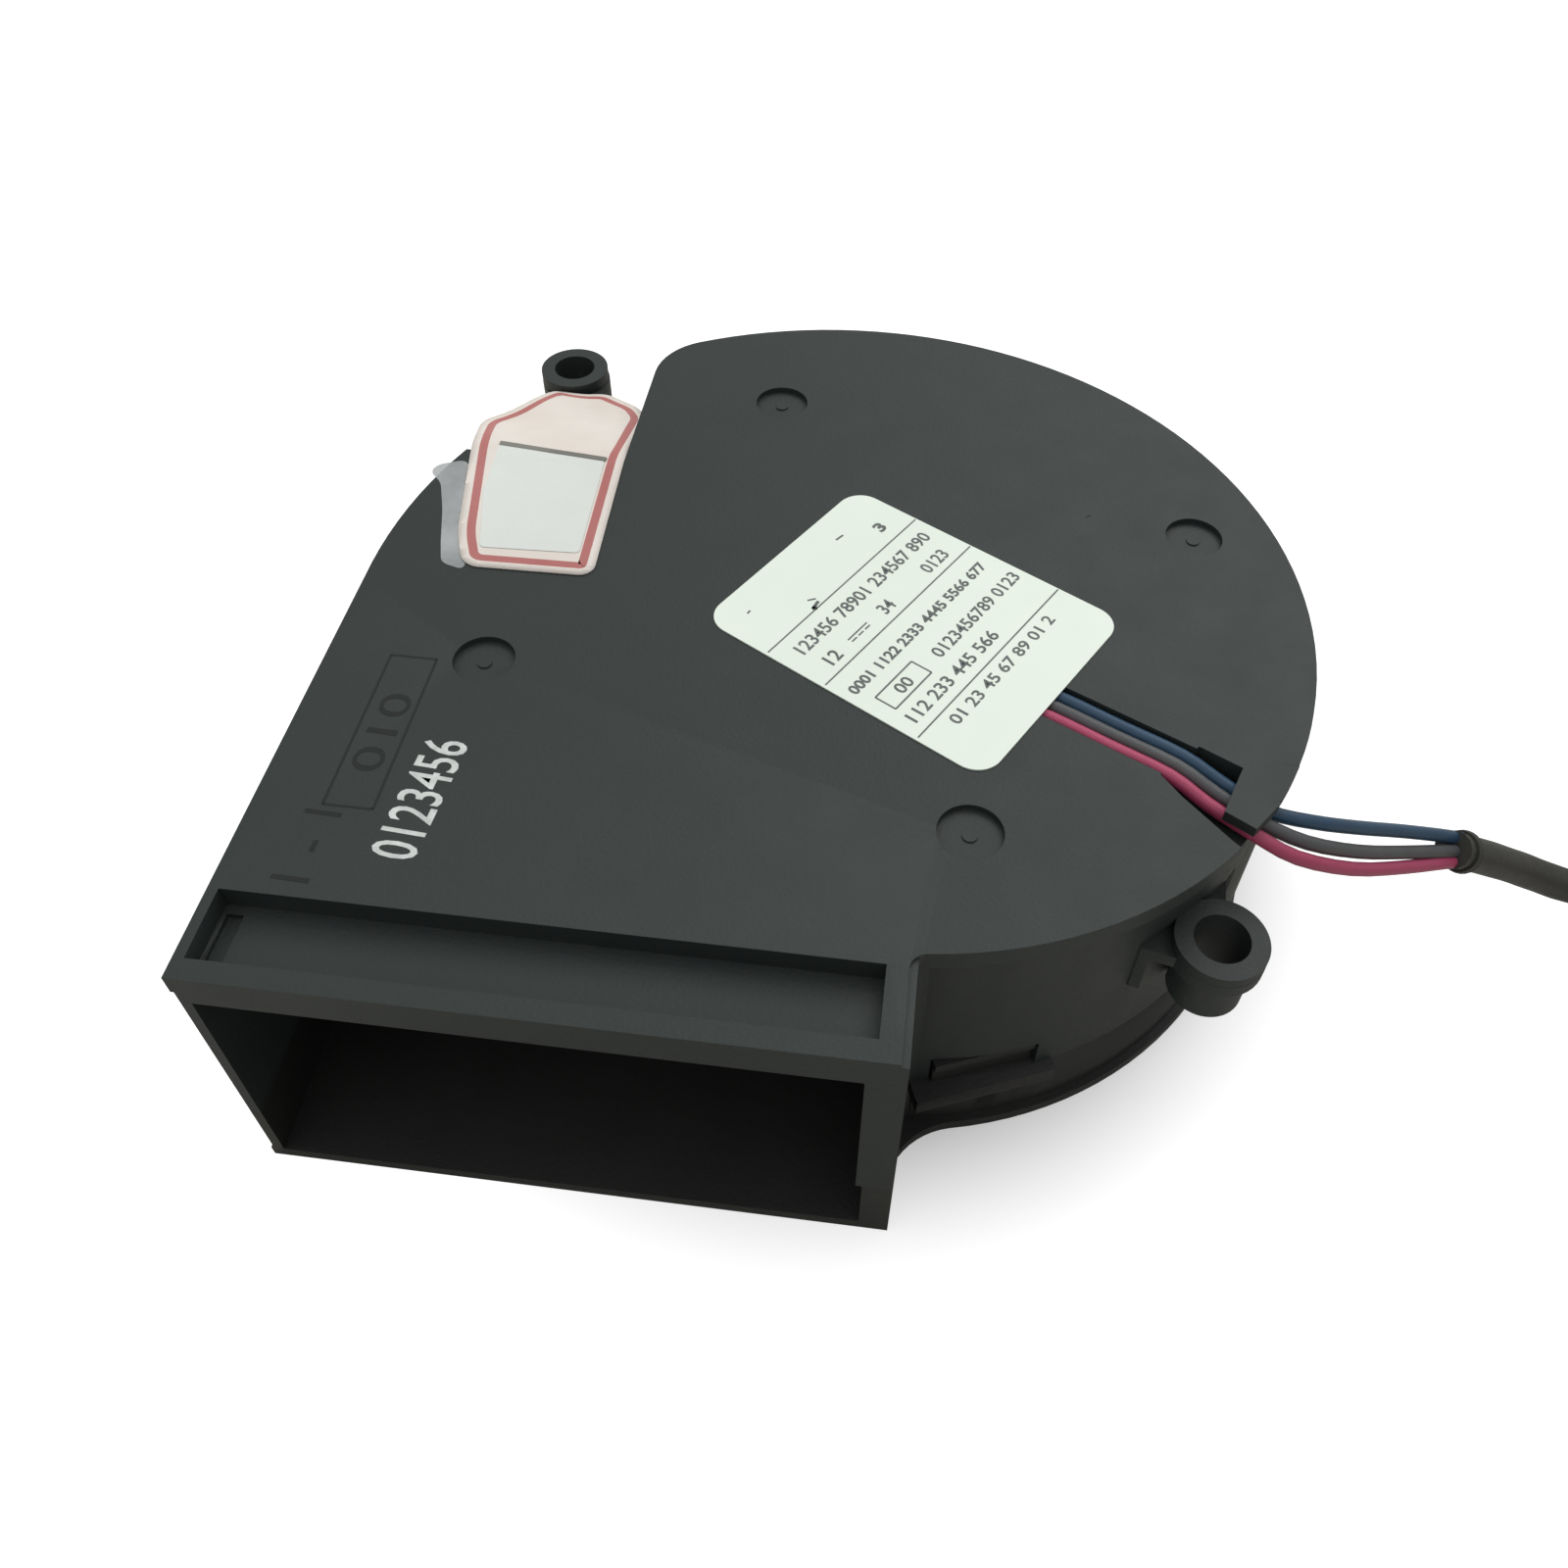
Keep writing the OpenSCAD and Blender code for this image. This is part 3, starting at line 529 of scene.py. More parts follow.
cutPast = 0.5  # how far a tool stands out of what it cuts
cutTop = faceTop + 1
ears = {
    "back": {"centre": (-43.147, 46.801), "rimTop": 26.6, "open": (56, 208)},
    "front": {"centre": (34.401, -30.299), "rimTop": 26.2, "open": (-132, 32)},
    "rimRadius": 4.27,
    "rimBase": 23.5,
    "holeRadius": 2.56,
    "bossRadius": 3.5,
    "outside": 6.0,  # radius that takes in all of the old boss
    "plateTop": 25.0,
    "rimJoin": 0.6,  # how far the rim reaches into the plate
    "bottom": 18.1,
}
webs = {  # what is cut away beside the ears, each outline closed by its points outside the housing
    "clear": 4.4,
    "wallClear": 0.1,
    "front": {"round": (-25, 78), "outside": [(1.3, 8.6), (6, 9.5), (9, -3)]},
    "back": {
        "round": (115, -24),
        "foot": (-37.9, 43.2),
        "wall": (129.5, 115),
        "outside": [(-22, 52), (-40, 56)],
    },
    "under": {"wall": (-57, -47), "round": (172, 230), "outside": [(-3.4, -4.6), (-9.0, -5.4)]},
}
faceCorner = {"radius": 8.0, "edge": -30.3, "outX": 1.5, "outY": 10}  # the cut stands out by outX and outY
slot = {
    "from": (-51.7, -47.7),
    "to": (4.9, -40.9),
    "floor": 30.6,
    "stepFrom": (-51.3, -47.0),
    "stepTo": (-49.8, -41.8),
    "stepFloor": 30.1,
}
leadTab = {
    "thick": 1.2,
    "below": 0.1,
    "outer": (-22.6, -29.4),  # the filled part of the throat's arc
    "inner": [(37.0, -20.4), (36.0, -17.0), (37.0, -14.9)],
    "trim": [(39.15, -19.3), (36.4, -22.9), (33.3, -21.0), (32.5, -22.0), (36.4, -25.0), (41.0, -23.0)],
}
dimples = {
    "centres": [(-14.1, 34.2), (33.4, 16.35), (11.1, -26.6), (-37.2, -11.8)],
    "reach": 3.4,
    "pipReach": 1.0,
    "oldFloor": (31.4, 32.2),  # the moulding's floor lies between these heights
    "floor": 32.35,
    "pip": 32.5,
}
softEdge = {"merge": 0.000002, "flatAngle": 0.6, "sharpAngle": 32, "width": 0.00018}  # metres and degrees


def frontWebCut():
    centre = ears["front"]["centre"]
    cut = webs["front"]
    return arc(centre, webs["clear"], *cut["round"], steps=12) + shifted(centre, cut["outside"])


def backWebCut():
    cut = webs["back"]
    wallEdge = scroll["radius"] + webs["wallClear"]
    outline = arc(ears["back"]["centre"], webs["clear"], *cut["round"], steps=14) + [cut["foot"]]
    return outline + arc(scroll["centre"], wallEdge, *cut["wall"], steps=8) + cut["outside"]


def underWebCut():
    centre = ears["front"]["centre"]
    cut = webs["under"]
    outline = arc(throat["centre"], throat["webEdge"], *cut["wall"], steps=6)
    outline += arc(centre, ears["bossRadius"], *cut["round"], steps=8)
    return outline + shifted(centre, cut["outside"])


def faceCornerCut():
    # the corner's arc touches the notch's edge and the scroll's edge
    radius = faceCorner["radius"]
    mx, my = scroll["centre"]
    cx = faceCorner["edge"] + radius
    cy = my + math.sqrt((scroll["radius"] - radius) ** 2 - (cx - mx) ** 2)
    far = math.degrees(math.atan2(cy - my, cx - mx))
    left = faceCorner["edge"] - faceCorner["outX"]
    top = cy + faceCorner["outY"]
    return arc((cx, cy), radius, 180, far, steps=8) + [(cx, top), (left, top), (left, cy)]


def earRimTools(ear):
    # under its raised rim an ear is thinner on its open side
    centre = ears[ear]["centre"]
    start, stop = ears[ear]["open"]
    rimTop = ears[ear]["rimTop"]
    around = arc(centre, ears["bossRadius"], start, stop, steps=24)
    around += arc(centre, ears["outside"], stop, start, steps=12)
    rim = disc(centre, ears["rimRadius"], ears["plateTop"] - ears["rimJoin"], rimTop)
    return [("DIFFERENCE", prism(around, ears["bottom"], ears["rimBase"])),
            ("UNION", rim),
            ("DIFFERENCE", disc(centre, ears["holeRadius"], ears["bottom"], rimTop + cutPast))]


def earTools():
    low = ears["bottom"]
    high = ears["plateTop"] + cutPast
    tools = [("DIFFERENCE", prism(frontWebCut(), low, high)),
             ("DIFFERENCE", prism(backWebCut(), low, high)),
             ("DIFFERENCE", prism(faceCornerCut(), ears["plateTop"], cutTop)),
             ("DIFFERENCE", prism(underWebCut(), low, ears["rimBase"]))]
    return tools + earRimTools("back") + earRimTools("front")


def slotTools():
    # the slot gets its sharp corners, and the small step at its left end
    return [("DIFFERENCE", box(slot["from"], slot["to"], slot["floor"], cutTop)),
            ("DIFFERENCE", box(slot["stepFrom"], slot["stepTo"], slot["stepFloor"], cutTop))]


def tabTools():
    # the tab over the leads is closed out to the edge of the face, and cut short at its free end
    low = faceTop - leadTab["thick"]
    fill = arc(throat["centre"], throat["tabEdge"], *leadTab["outer"], steps=6) + leadTab["inner"]
    return [("UNION", prism(fill, low, faceTop)),
            ("DIFFERENCE", prism(leadTab["trim"], low - leadTab["below"], faceTop + cutPast))]


def shallowDimples(bm):
    low, high = dimples["oldFloor"]
    for v in bm.verts:
        z = v.co.z / mm
        for cx, cy in dimples["centres"]:
            away = math.hypot(v.co.x / mm - cx, v.co.y / mm - cy)
            if away < dimples["reach"] and low < z < high:
                v.co.z = dimples["floor"] * mm
            elif away < dimples["pipReach"] and z > high:
                v.co.z = dimples["pip"] * mm


def mergedFrom(mesh):
    bm = bmesh.new()
    bm.from_mesh(mesh)
    bmesh.ops.remove_doubles(bm, verts=bm.verts, dist=softEdge["merge"])
    return bm


def softEdged(node, name, slotName, paint, tools=(), change=None):
    # a copy of the moulding with its edges broken
    bm = mergedFrom(bpy.data.objects[node].data)
    if change:
        change(bm)
    if tools:
        bm = mergedFrom(shaped(meshFrom(bm, name), tools))
    flat = math.radians(softEdge["flatAngle"])
    bmesh.ops.dissolve_limit(bm, angle_limit=flat, verts=bm.verts, edges=bm.edges)
    mesh = meshFrom(bm, name)
    mesh.materials.clear()
    piece = newPiece(name, mesh, "frame", slotName, paint)
    edge = piece.modifiers.new("edges", "BEVEL")
    edge.width = softEdge["width"]
    edge.segments = 2
    edge.limit_method = "ANGLE"
    edge.angle_limit = math.radians(softEdge["sharpAngle"])
    edge.use_clamp_overlap = True
    edge.harden_normals = True
    piece.data.shade_smooth()
    piece.data.set_sharp_from_angle(angle=math.radians(softEdge["sharpAngle"]))
    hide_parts(node)


housingTools = earTools() + slotTools() + tabTools()
softEdged("housing", "housingShell", "housing_plastic", housingPaint, housingTools, shallowDimples)
softEdged("inlet_cover", "inletCoverShell", "cover_plastic", coverPaint)
report("housing")


def metalPaint(name, colour, lighter, roughness, stretch=(1, 1, 1)):
    paint = Paint(name, Metallic=1.0, Roughness=roughness)
    where = paint.places(stretch)
    streak = paint.noise(where, 600, 3)
    broad = paint.noise(where, 90, 2)
    paint.feed(Base_Color=paint.mixed(broad, colour, lighter), Roughness=roughness - 0.06 + streak * 0.14)
    paint.bump(streak, 0.08, 0.0001)
    return paint.material


def plainPaint(name, colour, lighter, roughness, scale=300):
    paint = Paint(name, Roughness=roughness)
    where = paint.places()
    fine = paint.noise(where, scale * 4, 2)
    broad = paint.noise(where, scale, 3)
    paint.feed(Base_Color=paint.mixed(broad, colour, lighter), Roughness=roughness - 0.06 + fine * 0.14)
    paint.bump(fine, 0.12, 0.0001)
    return paint.material


def windingPaint():
    paint = Paint("windingWire", Roughness=0.3)
    turns = paint.bands(paint.places(), 900, 0.4)
    paint.feed(Base_Color=paint.mixed(turns, (0.16, 0.04, 0.012, 1), (0.6, 0.22, 0.07, 1)),
               Roughness=0.25 + turns * 0.15)
    paint.bump(turns, 0.5, 0.0002)
    return paint.material


def boardPaint():
    paint = Paint("circuitBoard", Roughness=0.35)
    where = paint.places()
    cells = paint.node("ShaderNodeTexVoronoi", {"feature": "DISTANCE_TO_EDGE"},
                       {"Vector": where, "Scale": 320}, "Distance")
    tracks = cells < 0.08
    paint.feed(Base_Color=paint.mixed(tracks, (0.012, 0.1, 0.045, 1), (0.03, 0.2, 0.09, 1)),
               Roughness=0.3 + paint.noise(where, 700) * 0.15)
    paint.bump(tracks, 0.2, 0.0001)
    return paint.material


def laminatedPaint():
    paint = Paint("coreSteel", Metallic=1.0, Roughness=0.4)
    layers = paint.bands(paint.places(), 640, 0.1)
    paint.feed(Base_Color=paint.mixed(layers, (0.16, 0.155, 0.15, 1), (0.4, 0.4, 0.39, 1)),
               Roughness=0.32 + layers * 0.2)
    paint.bump(layers, 0.4, 0.0002)
    return paint.material


nodePaint = {
    "impeller": wheelPaint,
    "rotor_yoke": metalPaint("zincSteel", (0.5, 0.51, 0.52, 1), (0.66, 0.67, 0.68, 1), 0.34),
    "magnet_ring": plainPaint("ferrite", (0.045, 0.043, 0.04, 1), (0.08, 0.077, 0.072, 1), 0.6),
    "shaft": metalPaint("groundSteel", (0.66, 0.67, 0.68, 1), (0.8, 0.81, 0.82, 1), 0.18, (1, 1, 0.1)),
    "preload_spring": metalPaint("springSteel", (0.5, 0.5, 0.5, 1), (0.65, 0.65, 0.65, 1), 0.3),
    "retaining_clip": metalPaint("clipSteel", (0.4, 0.41, 0.42, 1), (0.55, 0.56, 0.57, 1), 0.35),
    "thrust_washer": plainPaint("washerPlastic", (0.6, 0.58, 0.5, 1), (0.72, 0.7, 0.62, 1), 0.45),
    "bearing_tube": metalPaint("turnedBrass", (0.6, 0.42, 0.16, 1), (0.76, 0.57, 0.26, 1), 0.26),
    "stator_core": laminatedPaint(),
    "lower_insulator": plainPaint("bobbinPlastic", (0.72, 0.7, 0.62, 1), (0.82, 0.8, 0.72, 1), 0.5),
    "windings": windingPaint(),
    "circuit_board": boardPaint(),
    "hall_sensor": plainPaint("chipPlastic", (0.012, 0.012, 0.013, 1), (0.025, 0.025, 0.026, 1), 0.5),
    "capacitor": plainPaint("capacitorSleeve", (0.02, 0.025, 0.07, 1), (0.03, 0.04, 0.1, 1), 0.3),
    "connector": plainPaint("naturalNylon", (0.66, 0.64, 0.57, 1), (0.76, 0.75, 0.69, 1), 0.4),
    "terminals": metalPaint("tinPlate", (0.62, 0.6, 0.54, 1), (0.75, 0.73, 0.68, 1), 0.3),
}
bearingSteel = metalPaint("bearingSteel", (0.62, 0.63, 0.64, 1), (0.76, 0.77, 0.78, 1), 0.2)
ballSteel = metalPaint("ballSteel", (0.7, 0.69, 0.62, 1), (0.82, 0.8, 0.72, 1), 0.12)
for name in ("lower_outer_ring", "lower_inner_ring", "upper_outer_ring", "upper_inner_ring"):
    nodePaint[name] = bearingSteel
nodePaint["lower_balls"] = nodePaint["upper_balls"] = ballSteel
nodePaint["upper_insulator"] = nodePaint["lower_insulator"]
nodePaint["driver_chip"] = nodePaint["hall_sensor"]
for name, material in nodePaint.items():
    dress(name, material)
report("inner parts")


def labelPaint():
    paint = Paint("labelFilm", Roughness=0.38)
    where = paint.places()
    broad = paint.noise(where, 45, 4)
    fibre = paint.noise(where, 900, 2)
    paint.feed(Base_Color=paint.mixed(broad, (0.74, 0.82, 0.72, 1), (0.86, 0.92, 0.84, 1)),
               Roughness=0.32 + fibre * 0.14)
    paint.bump(broad * 0.8 + fibre * 0.2, 0.1, 0.0003)
    return paint.material


def inkPaint(name, dark, light, scale=500):
    paint = Paint(name, Roughness=0.6)
    patchy = paint.noise(paint.places(), scale, 3)
    paint.feed(Base_Color=paint.mixed(patchy, dark, light), Roughness=0.5 + patchy * 0.2)
    return paint.material


def flatPlace(centre, turn, size, top, thick):
    # takes a shape of unit size to its place on a face
    return (Matrix.Translation(Vector((centre[0], centre[1], top + thick / 2)) * mm)
            @ Matrix.Rotation(math.radians(turn), 4, "Z")
            @ Matrix.Diagonal((size[0] * mm, size[1] * mm, thick * mm, 1)))


def addFigures(bm, text, centre, height, wide, turn, top, thick=0.02, heavy=0.0):
    # plain figures, set flat on a face, centred on a point and as wide as asked
    font = bpy.data.curves.new("figures", "FONT")
    font.body = text
    font.size = 1
    font.extrude = 0.5
    font.offset = heavy
    font.resolution_u = 3
    carrier = newObject("figures", font)
    flat = bpy.data.meshes.new_from_object(carrier.evaluated_get(bpy.context.evaluated_depsgraph_get()))
    bpy.data.objects.remove(carrier)
    xs = [v.co.x for v in flat.vertices]
    ys = [v.co.y for v in flat.vertices]
    middle = Vector(((max(xs) + min(xs)) / 2, (max(ys) + min(ys)) / 2, 0))
    size = (wide / (max(xs) - min(xs)), height / (max(ys) - min(ys)))
    flat.transform(flatPlace(centre, turn, size, top, thick) @ Matrix.Translation(-middle))
    bm.from_mesh(flat)
    bpy.data.meshes.remove(flat)


def addBar(bm, centre, size, turn, top, thick=0.02):
    made = bmesh.ops.create_cube(bm, size=1)
    bmesh.ops.transform(bm, verts=made["verts"], matrix=flatPlace(centre, turn, size, top, thick))


def addBox(bm, centre, size, line, turn, top, thick=0.02):
    # four bars round a rectangle
    wide, tall = size
    for along, across, bar in ((wide / 2, 0, (line, tall)), (0, tall / 2, (wide, line))):
        for way in (-1, 1):
            addBar(bm, turned(centre, (along * way, across * way), turn), bar, turn, top, thick)


label = {  # places are along and across the label
    "centre": (4.2, -0.7),
    "turn": -30.4,
    "dividers": {"places": [(-8.7, 0.1), (-1.6, 0.1), (9.25, 0.1)], "size": (0.16, 25.7)},
    "box": {"place": (4.35, -8.05), "size": (2.4, 6.1), "line": 0.18},
    "dashes": {"places": [(-3.05, -6.0), (-3.05, -4.9), (-3.05, -3.8)], "size": (0.16, 0.8)},
    "marks": [  # place, width, length and turn
        (-3.5, -4.9, 0.16, 3.2, 0),
        (-9.1, -4.5, 0.35, 1.3, 10),
        (-9.9, -4.1, 0.2, 0.9, -35),
        (-8.9, -4.9, 0.5, 0.5, 45),
        (-13.4, 5.4, 0.22, 1.1, -6),
        (-13.8, -9.5, 0.2, 0.5, 8),
    ],
    "rows": [  # place along the label, from, to, height, figures, weight
        (-6.4, -10.8, 11.6, 1.6, "123456 78901 234567 890", 0.015),
        (-3.3, -10.2, -8.4, 1.55, "12", 0.015),
        (-3.3, -1.1, 0.7, 1.55, "34", 0.015),
        (-3.3, 6.7, 10.5, 1.55, "0123", 0.015),
        (0.95, -12.0, 11.4, 1.3, "0001 1122 2333 4445 5566 677", 0.03),
        (4.5, -2.8, 12.2, 1.5, "0123456789 0123", 0.015),
        (7.4, -11.35, 3.5, 1.5, "112 233 445 566", 0.015),
        (10.75, -9.1, 8.9, 1.35, "01 23 45 67 89 01 2", 0.015),
        (4.35, -9.1, -7.0, 1.4, "00", 0.015),
        (-11.0, 8.9, 10.0, 1.5, "3", 0.04),
    ],
}


def onLabel(along, across):
    return turned(label["centre"], (along, across), label["turn"])


def labelPrint():
    bm = bmesh.new()
    turn = label["turn"]
    for bars in (label["dividers"], label["dashes"]):
        for place in bars["places"]:
            addBar(bm, onLabel(*place), bars["size"], turn, labelTop)
    ruled = label["box"]
    addBox(bm, onLabel(*ruled["place"]), ruled["size"], ruled["line"], turn, labelTop)
    for along, across, wide, tall, lean in label["marks"]:
        addBar(bm, onLabel(along, across), (wide, tall), turn + lean, labelTop)
    for along, start, end, height, text, heavy in label["rows"]:
        centre = onLabel(along, (start + end) / 2)
        addFigures(bm, text, centre, height, end - start, turn + 90, labelTop, heavy=heavy)
    return meshFrom(bm, "labelPrint")


dress("label", labelPaint())
blackInk = inkPaint("blackInk", (0.05, 0.06, 0.06, 1), (0.2, 0.22, 0.215, 1))
newPiece("labelPrint", labelPrint(), "frame", "label_film", blackInk)
report("label")

faceFigures = {
    "printed": {"text": "0123456", "centre": (-37.95, -29.2), "height": 4.2, "wide": 13.6, "turn": 86},
    "printThick": 0.03,
    "printHeavy": 0.008,
    "engraved": [
        {"text": "1 - 1", "centre": (-46.0, -35.6), "height": 3.4, "wide": 7.6, "turn": 88},
        {"text": "010", "centre": (-43.9, -22.2), "height": 3.0, "wide": 9.6, "turn": 88},
    ],
    "box": {"centre": (-44.0, -21.8), "size": (4.6, 18.6), "line": 0.26, "turn": 0},
    "speck": {"centre": (22.0, 18.2), "size": (0.55, 0.3), "turn": 35},
    "lineThick": 0.012,
}


def printedFigures():
    bm = bmesh.new()
    addFigures(bm, **faceFigures["printed"], top=faceTop, thick=faceFigures["printThick"],
               heavy=faceFigures["printHeavy"])
    return meshFrom(bm, "printedFigures")


def engravedFigures():
    # dark lines that stand for the shallow cut; their darkness is painted shade in the cut
    bm = bmesh.new()
    flat = {"top": faceTop, "thick": faceFigures["lineThick"]}
    for figures in faceFigures["engraved"]:
        addFigures(bm, **figures, **flat)
    addBox(bm, **faceFigures["box"], **flat)
    addBar(bm, **faceFigures["speck"], **flat)
    return meshFrom(bm, "engravedFigures")


whiteInk = inkPaint("whiteInk", (0.34, 0.36, 0.35, 1), (0.85, 0.88, 0.86, 1), 900)
# the engraved lines are painted darker than the face, as painted shade in the shallow cut
engravedShadePaint = inkPaint("engravedLineShade", (0.005, 0.0065, 0.0065, 1), (0.011, 0.013, 0.013, 1))
newPiece("printedFigures", printedFigures(), "frame", "label_film", whiteInk)
newPiece("engravedFigures", engravedFigures(), "frame", "housing_plastic", engravedShadePaint)
report("figures")


def paperPaint(name, dark, light, roughness=0.45):
    paint = Paint(name, Roughness=roughness)
    where = paint.places()
    broad = paint.noise(where, 110, 4)
    fibre = paint.noise(where, 1400, 2)
    paint.feed(Base_Color=paint.mixed(broad, dark, light), Roughness=roughness - 0.05 + fibre * 0.15)
    paint.bump(broad * 0.85 + fibre * 0.15, 0.3, 0.0006)
    return paint.material


def filmMaterial():
    paint = Paint("stickerFilm", Roughness=0.25)
    cloudy = paint.noise(paint.places(), 160, 3)
    paint.feed(Base_Color=paint.mixed(cloudy, (0.3, 0.315, 0.32, 1), (0.58, 0.6, 0.61, 1)),
               Roughness=0.2 + cloudy * 0.15, Alpha=0.4 + cloudy * 0.6)
    return paint.material


sticker = {
    "outline": [(-43.2, 0.9), (-29.4, 1.2), (-30.9, 34.6), (-33.2, 39.4), (-38.4, 43.2), (-41.2, 41.6),
                (-44.6, 43.0), (-47.8, 33.2), (-49.6, 28.6), (-48.4, 22.6), (-46.6, 13.1), (-45.2, 5.8)],
    "corner": 2.1,
    "lift": 0.04,
    "thick": 0.14,
    "margin": 0.9,
    "border": 0.95,
    "merge": 0.03,
    "foldY": 20.2,
    "foldRound": 1.2,
    "slope": 0.35,
    "wave": {"height": 0.25, "pace": (0.35, 0.42), "fromX": -31, "growsIn": 4},
    "strips": ((1, 1.3, 0.2), (0, 2.6, 1.0)),  # axis, width, and the least that is left at the end
}
sheets = {  # flat pieces on the sticker or beside it
    "stickerWindow": {
        "outline": [(-42.2, 3.9), (-31.6, 4.4), (-32.4, 20.1), (-45.0, 21.6), (-44.4, 13.0)],
        "corner": 0.5,
        "lift": sticker["thick"] + 0.06,
        "thick": 0.05,
        "bent": True,
        "paint": paperPaint("stickerWindow", (0.66, 0.69, 0.66, 1), (0.76, 0.79, 0.76, 1)),
    },
    # a dark strip at the window's top edge, where the sheet folds: painted shadow of the fold
    "stickerCrease": {
        "outline": [(-45.0, 21.3), (-32.3, 19.9), (-32.2, 20.6), (-45.1, 22.2)],
        "corner": 0.15,
        "lift": sticker["thick"] + 0.12,
        "thick": 0.05,
        "bent": True,
        "paint": paperPaint("stickerCrease", (0.1, 0.095, 0.085, 1), (0.3, 0.29, 0.26, 1)),
    },
    "stickerFilm": {
        "outline": [(-48.0, 18.2), (-50.9, 17.0), (-51.3, 15.6), (-49.6, 14.0), (-48.0, 9.5), (-46.6, 4.4),
                    (-45.6, 1.2), (-43.0, 0.4), (-43.2, 6.0), (-45.0, 14.0)],
        "corner": 0.7,
        "lift": 0.01,
        "thick": 0.02,
        "bent": False,
        "paint": filmMaterial(),
    },
}


def cutSheet(outline, corner, steps):
    bm = bmesh.new()
    bm.faces.new([bm.verts.new((x * mm, y * mm, 0)) for x, y in outline])
    bmesh.ops.bevel(bm, geom=bm.verts[:], offset=corner * mm, segments=steps, profile=0.5,
                    affect="VERTICES", material=-1, clamp_overlap=True)
    return bm


def cutStrips(bm):
    # edges across the sheet, so that it can bend
    for axis, wide, left in sticker["strips"]:
        normal = Vector((0, 0, 0))
        normal[axis] = 1
        place = min(v.co[axis] for v in bm.verts) + wide * mm
        end = max(v.co[axis] for v in bm.verts) - left * mm
        while place < end:
            everything = bm.verts[:] + bm.edges[:] + bm.faces[:]
            bmesh.ops.bisect_plane(bm, geom=everything, plane_co=normal * place, plane_no=normal)
            place += wide * mm


def bendDown(bm, lift):
    # past the fold the sheet runs down to the ear, with a small wave in it
    wave = sticker["wave"]
    paceX, paceY = wave["pace"]
    for v in bm.verts:
        over = max(0.0, v.co.y / mm - sticker["foldY"])
        fall = over - sticker["foldRound"] * (1 - math.exp(-over / sticker["foldRound"]))
        rise = math.sin(over * paceY) * math.sin((v.co.x / mm - wave["fromX"]) * paceX)
        rise *= wave["height"] * min(1, over / wave["growsIn"])
        v.co.z += (faceTop + lift - sticker["slope"] * fall + rise) * mm


def laidSheet(bm, name, lift, thick, bent, *materials):
    cutStrips(bm)
    if bent:
        bendDown(bm, lift)
    else:
        bmesh.ops.translate(bm, verts=bm.verts, vec=(0, 0, (faceTop + lift) * mm))
    bmesh.ops.recalc_face_normals(bm, faces=bm.faces)
    piece = newPiece(name, meshFrom(bm, name), "frame", "sticker_paper", *materials)
    wall = piece.modifiers.new("thickness", "SOLIDIFY")
    wall.thickness = thick * mm
    wall.offset = 1
    return piece


def earSticker():
    bm = cutSheet(sticker["outline"], sticker["corner"], steps=5)
    bmesh.ops.remove_doubles(bm, verts=bm.verts, dist=sticker["merge"] * mm)
    core = bm.faces[:]
    bmesh.ops.inset_region(bm, faces=core, thickness=sticker["margin"] * mm, use_even_offset=True,
                           use_boundary=True)
    ring = bmesh.ops.inset_region(bm, faces=core, thickness=sticker["border"] * mm, use_even_offset=True)
    for face in ring["faces"]:
        face.material_index = 1
    paperWhite = paperPaint("stickerPaper", (0.66, 0.58, 0.52, 1), (0.84, 0.79, 0.74, 1))
    paperRed = paperPaint("stickerBorder", (0.38, 0.11, 0.1, 1), (0.52, 0.2, 0.19, 1))
    piece = laidSheet(bm, "earSticker", sticker["lift"], sticker["thick"], True, paperWhite, paperRed)
    piece.data.shade_smooth()
    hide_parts("ear_sticker")


earSticker()
for name, sheet in sheets.items():
    flatSheet = cutSheet(sheet["outline"], sheet["corner"], steps=3)
    laidSheet(flatSheet, name, sheet["lift"], sheet["thick"], sheet["bent"], sheet["paint"])
report("sticker")

floorFacts = {  # lengths in metres
    "half": 1.6,
    "drop": 0.00004,
    "glow": 0.74,  # share of what the camera sees of the floor that shines by itself
    "glowFrom": 0.03,  # distance from the scroll's centre at which the glow starts; nearer in, the floor is left darker as painted shade round the object
    "glowFull": 0.07,
    "strength": 1.5,
    "bounce": (0.56, 0.54, 0.49, 1),  # its colour as the object sees it
}


def floorPaint():
    paint = Paint("paleFloor", Roughness=0.9, Specular_IOR_Level=0.1)
    cameraRay = paint.node("ShaderNodeLightPath", output="Is Camera Ray")
    tone = paint.mixed(paint.noise(paint.places(), 3, 2), grey(0.8), grey(0.84))
    paint.feed(Base_Color=paint.mixed(cameraRay, floorFacts["bounce"], tone))
    middle = Vector((*scroll["centre"], 0)) * mm
    away = paint.node("ShaderNodeVectorMath", {"operation": "DISTANCE"}, {0: paint.places(), 1: middle},
                      "Value")
    reach = {"Value": away, "From Min": floorFacts["glowFrom"], "From Max": floorFacts["glowFull"]}
    # the glow is left out near the object, so the floor there stays darker: painted shade round the object
    clear = paint.node("ShaderNodeMapRange", {"interpolation_type": "SMOOTHSTEP"}, reach)
    paint.shine(cameraRay * clear * floorFacts["glow"], floorFacts["strength"])
    return paint.material


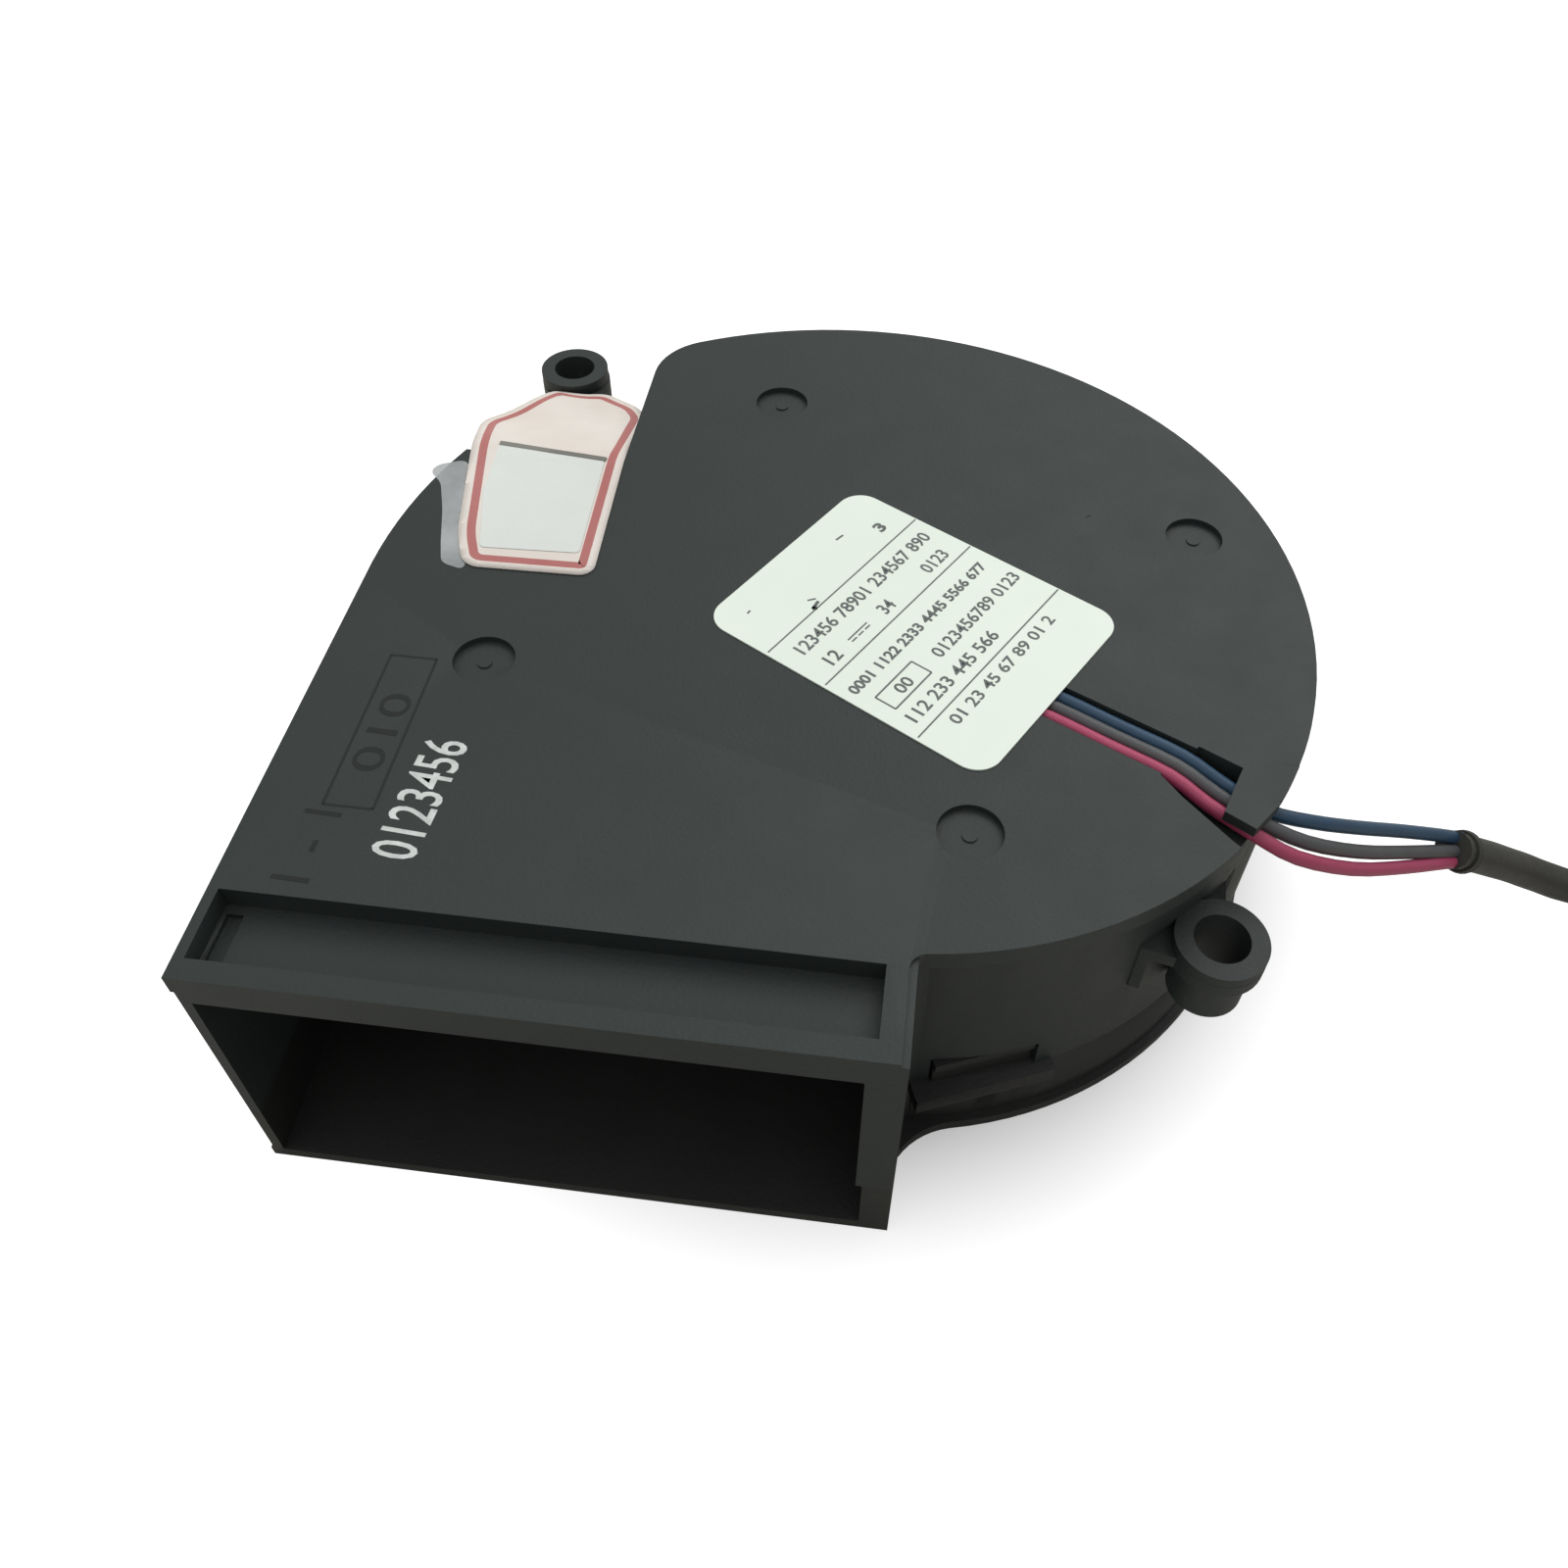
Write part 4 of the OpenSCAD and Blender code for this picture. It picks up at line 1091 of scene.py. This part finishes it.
def floorMesh():
    bm = bmesh.new()
    bmesh.ops.create_grid(bm, x_segments=1, y_segments=1, size=floorFacts["half"])
    bmesh.ops.translate(bm, verts=bm.verts, vec=(0, 0, -floorFacts["drop"]))
    return meshFrom(bm, "floor")


floor = newObject("floor", floorMesh())
floor.data.materials.append(floorPaint())

sky = {"low": 0.26, "high": 0.8, "colour": (0.99, 1.0, 0.995, 1), "shown": grey(1.0)}


def skyLight():
    # brighter towards the top, and plain white to the camera
    world = bpy.data.worlds.new("studio")
    shading = Shading(world)
    coords = shading.node("ShaderNodeTexCoord", output="Generated")
    height = shading.node("ShaderNodeSeparateXYZ", None, {0: coords}, "Z")
    strength = shading.node("ShaderNodeMapRange", None,
                            {"Value": height, "To Min": sky["low"], "To Max": sky["high"]})
    light = shading.node("ShaderNodeBackground", None, {"Color": sky["colour"], "Strength": strength})
    shown = shading.node("ShaderNodeBackground", None, {"Color": sky["shown"]})
    cameraRay = shading.node("ShaderNodeLightPath", output="Is Camera Ray")
    both = shading.node("ShaderNodeMixShader", None, {0: cameraRay, 1: light, 2: shown})
    shading.node("ShaderNodeOutputWorld", None, {0: both})
    return world


lampAim = (0, 0, 0.02)
lamps = {  # metres and watts, and a lamp that isn't glossy leaves no highlight
    "backLamp": {
        "place": (-0.35, 0.7, 0.62),
        "size": 0.3,
        "power": 3.6,
        "colour": (1, 0.99, 0.97),
        "glossy": False,
    },
    "sheenLamp": {
        "place": (0.32, 0.62, 0.8),
        "size": 0.7,
        "power": 2.5,
        "colour": (0.98, 1, 0.99),
        "glossy": True,
    },
}


def softLamp(name, facts):
    data = bpy.data.lights.new(name, "AREA")
    data.shape = "DISK"
    data.size = facts["size"]
    data.energy = facts["power"]
    data.color = facts["colour"]
    lamp = newObject(name, data)
    away = Vector(facts["place"]) - Vector(lampAim)
    facing = away.to_track_quat("Z", "Y").to_matrix().to_4x4()
    lamp.matrix_world = Matrix.Translation(facts["place"]) @ facing
    lamp.visible_glossy = facts["glossy"]


bpy.context.scene.world = skyLight()
for name, facts in lamps.items():
    softLamp(name, facts)
report("light")

bpy.context.scene.view_settings.view_transform = "Standard"
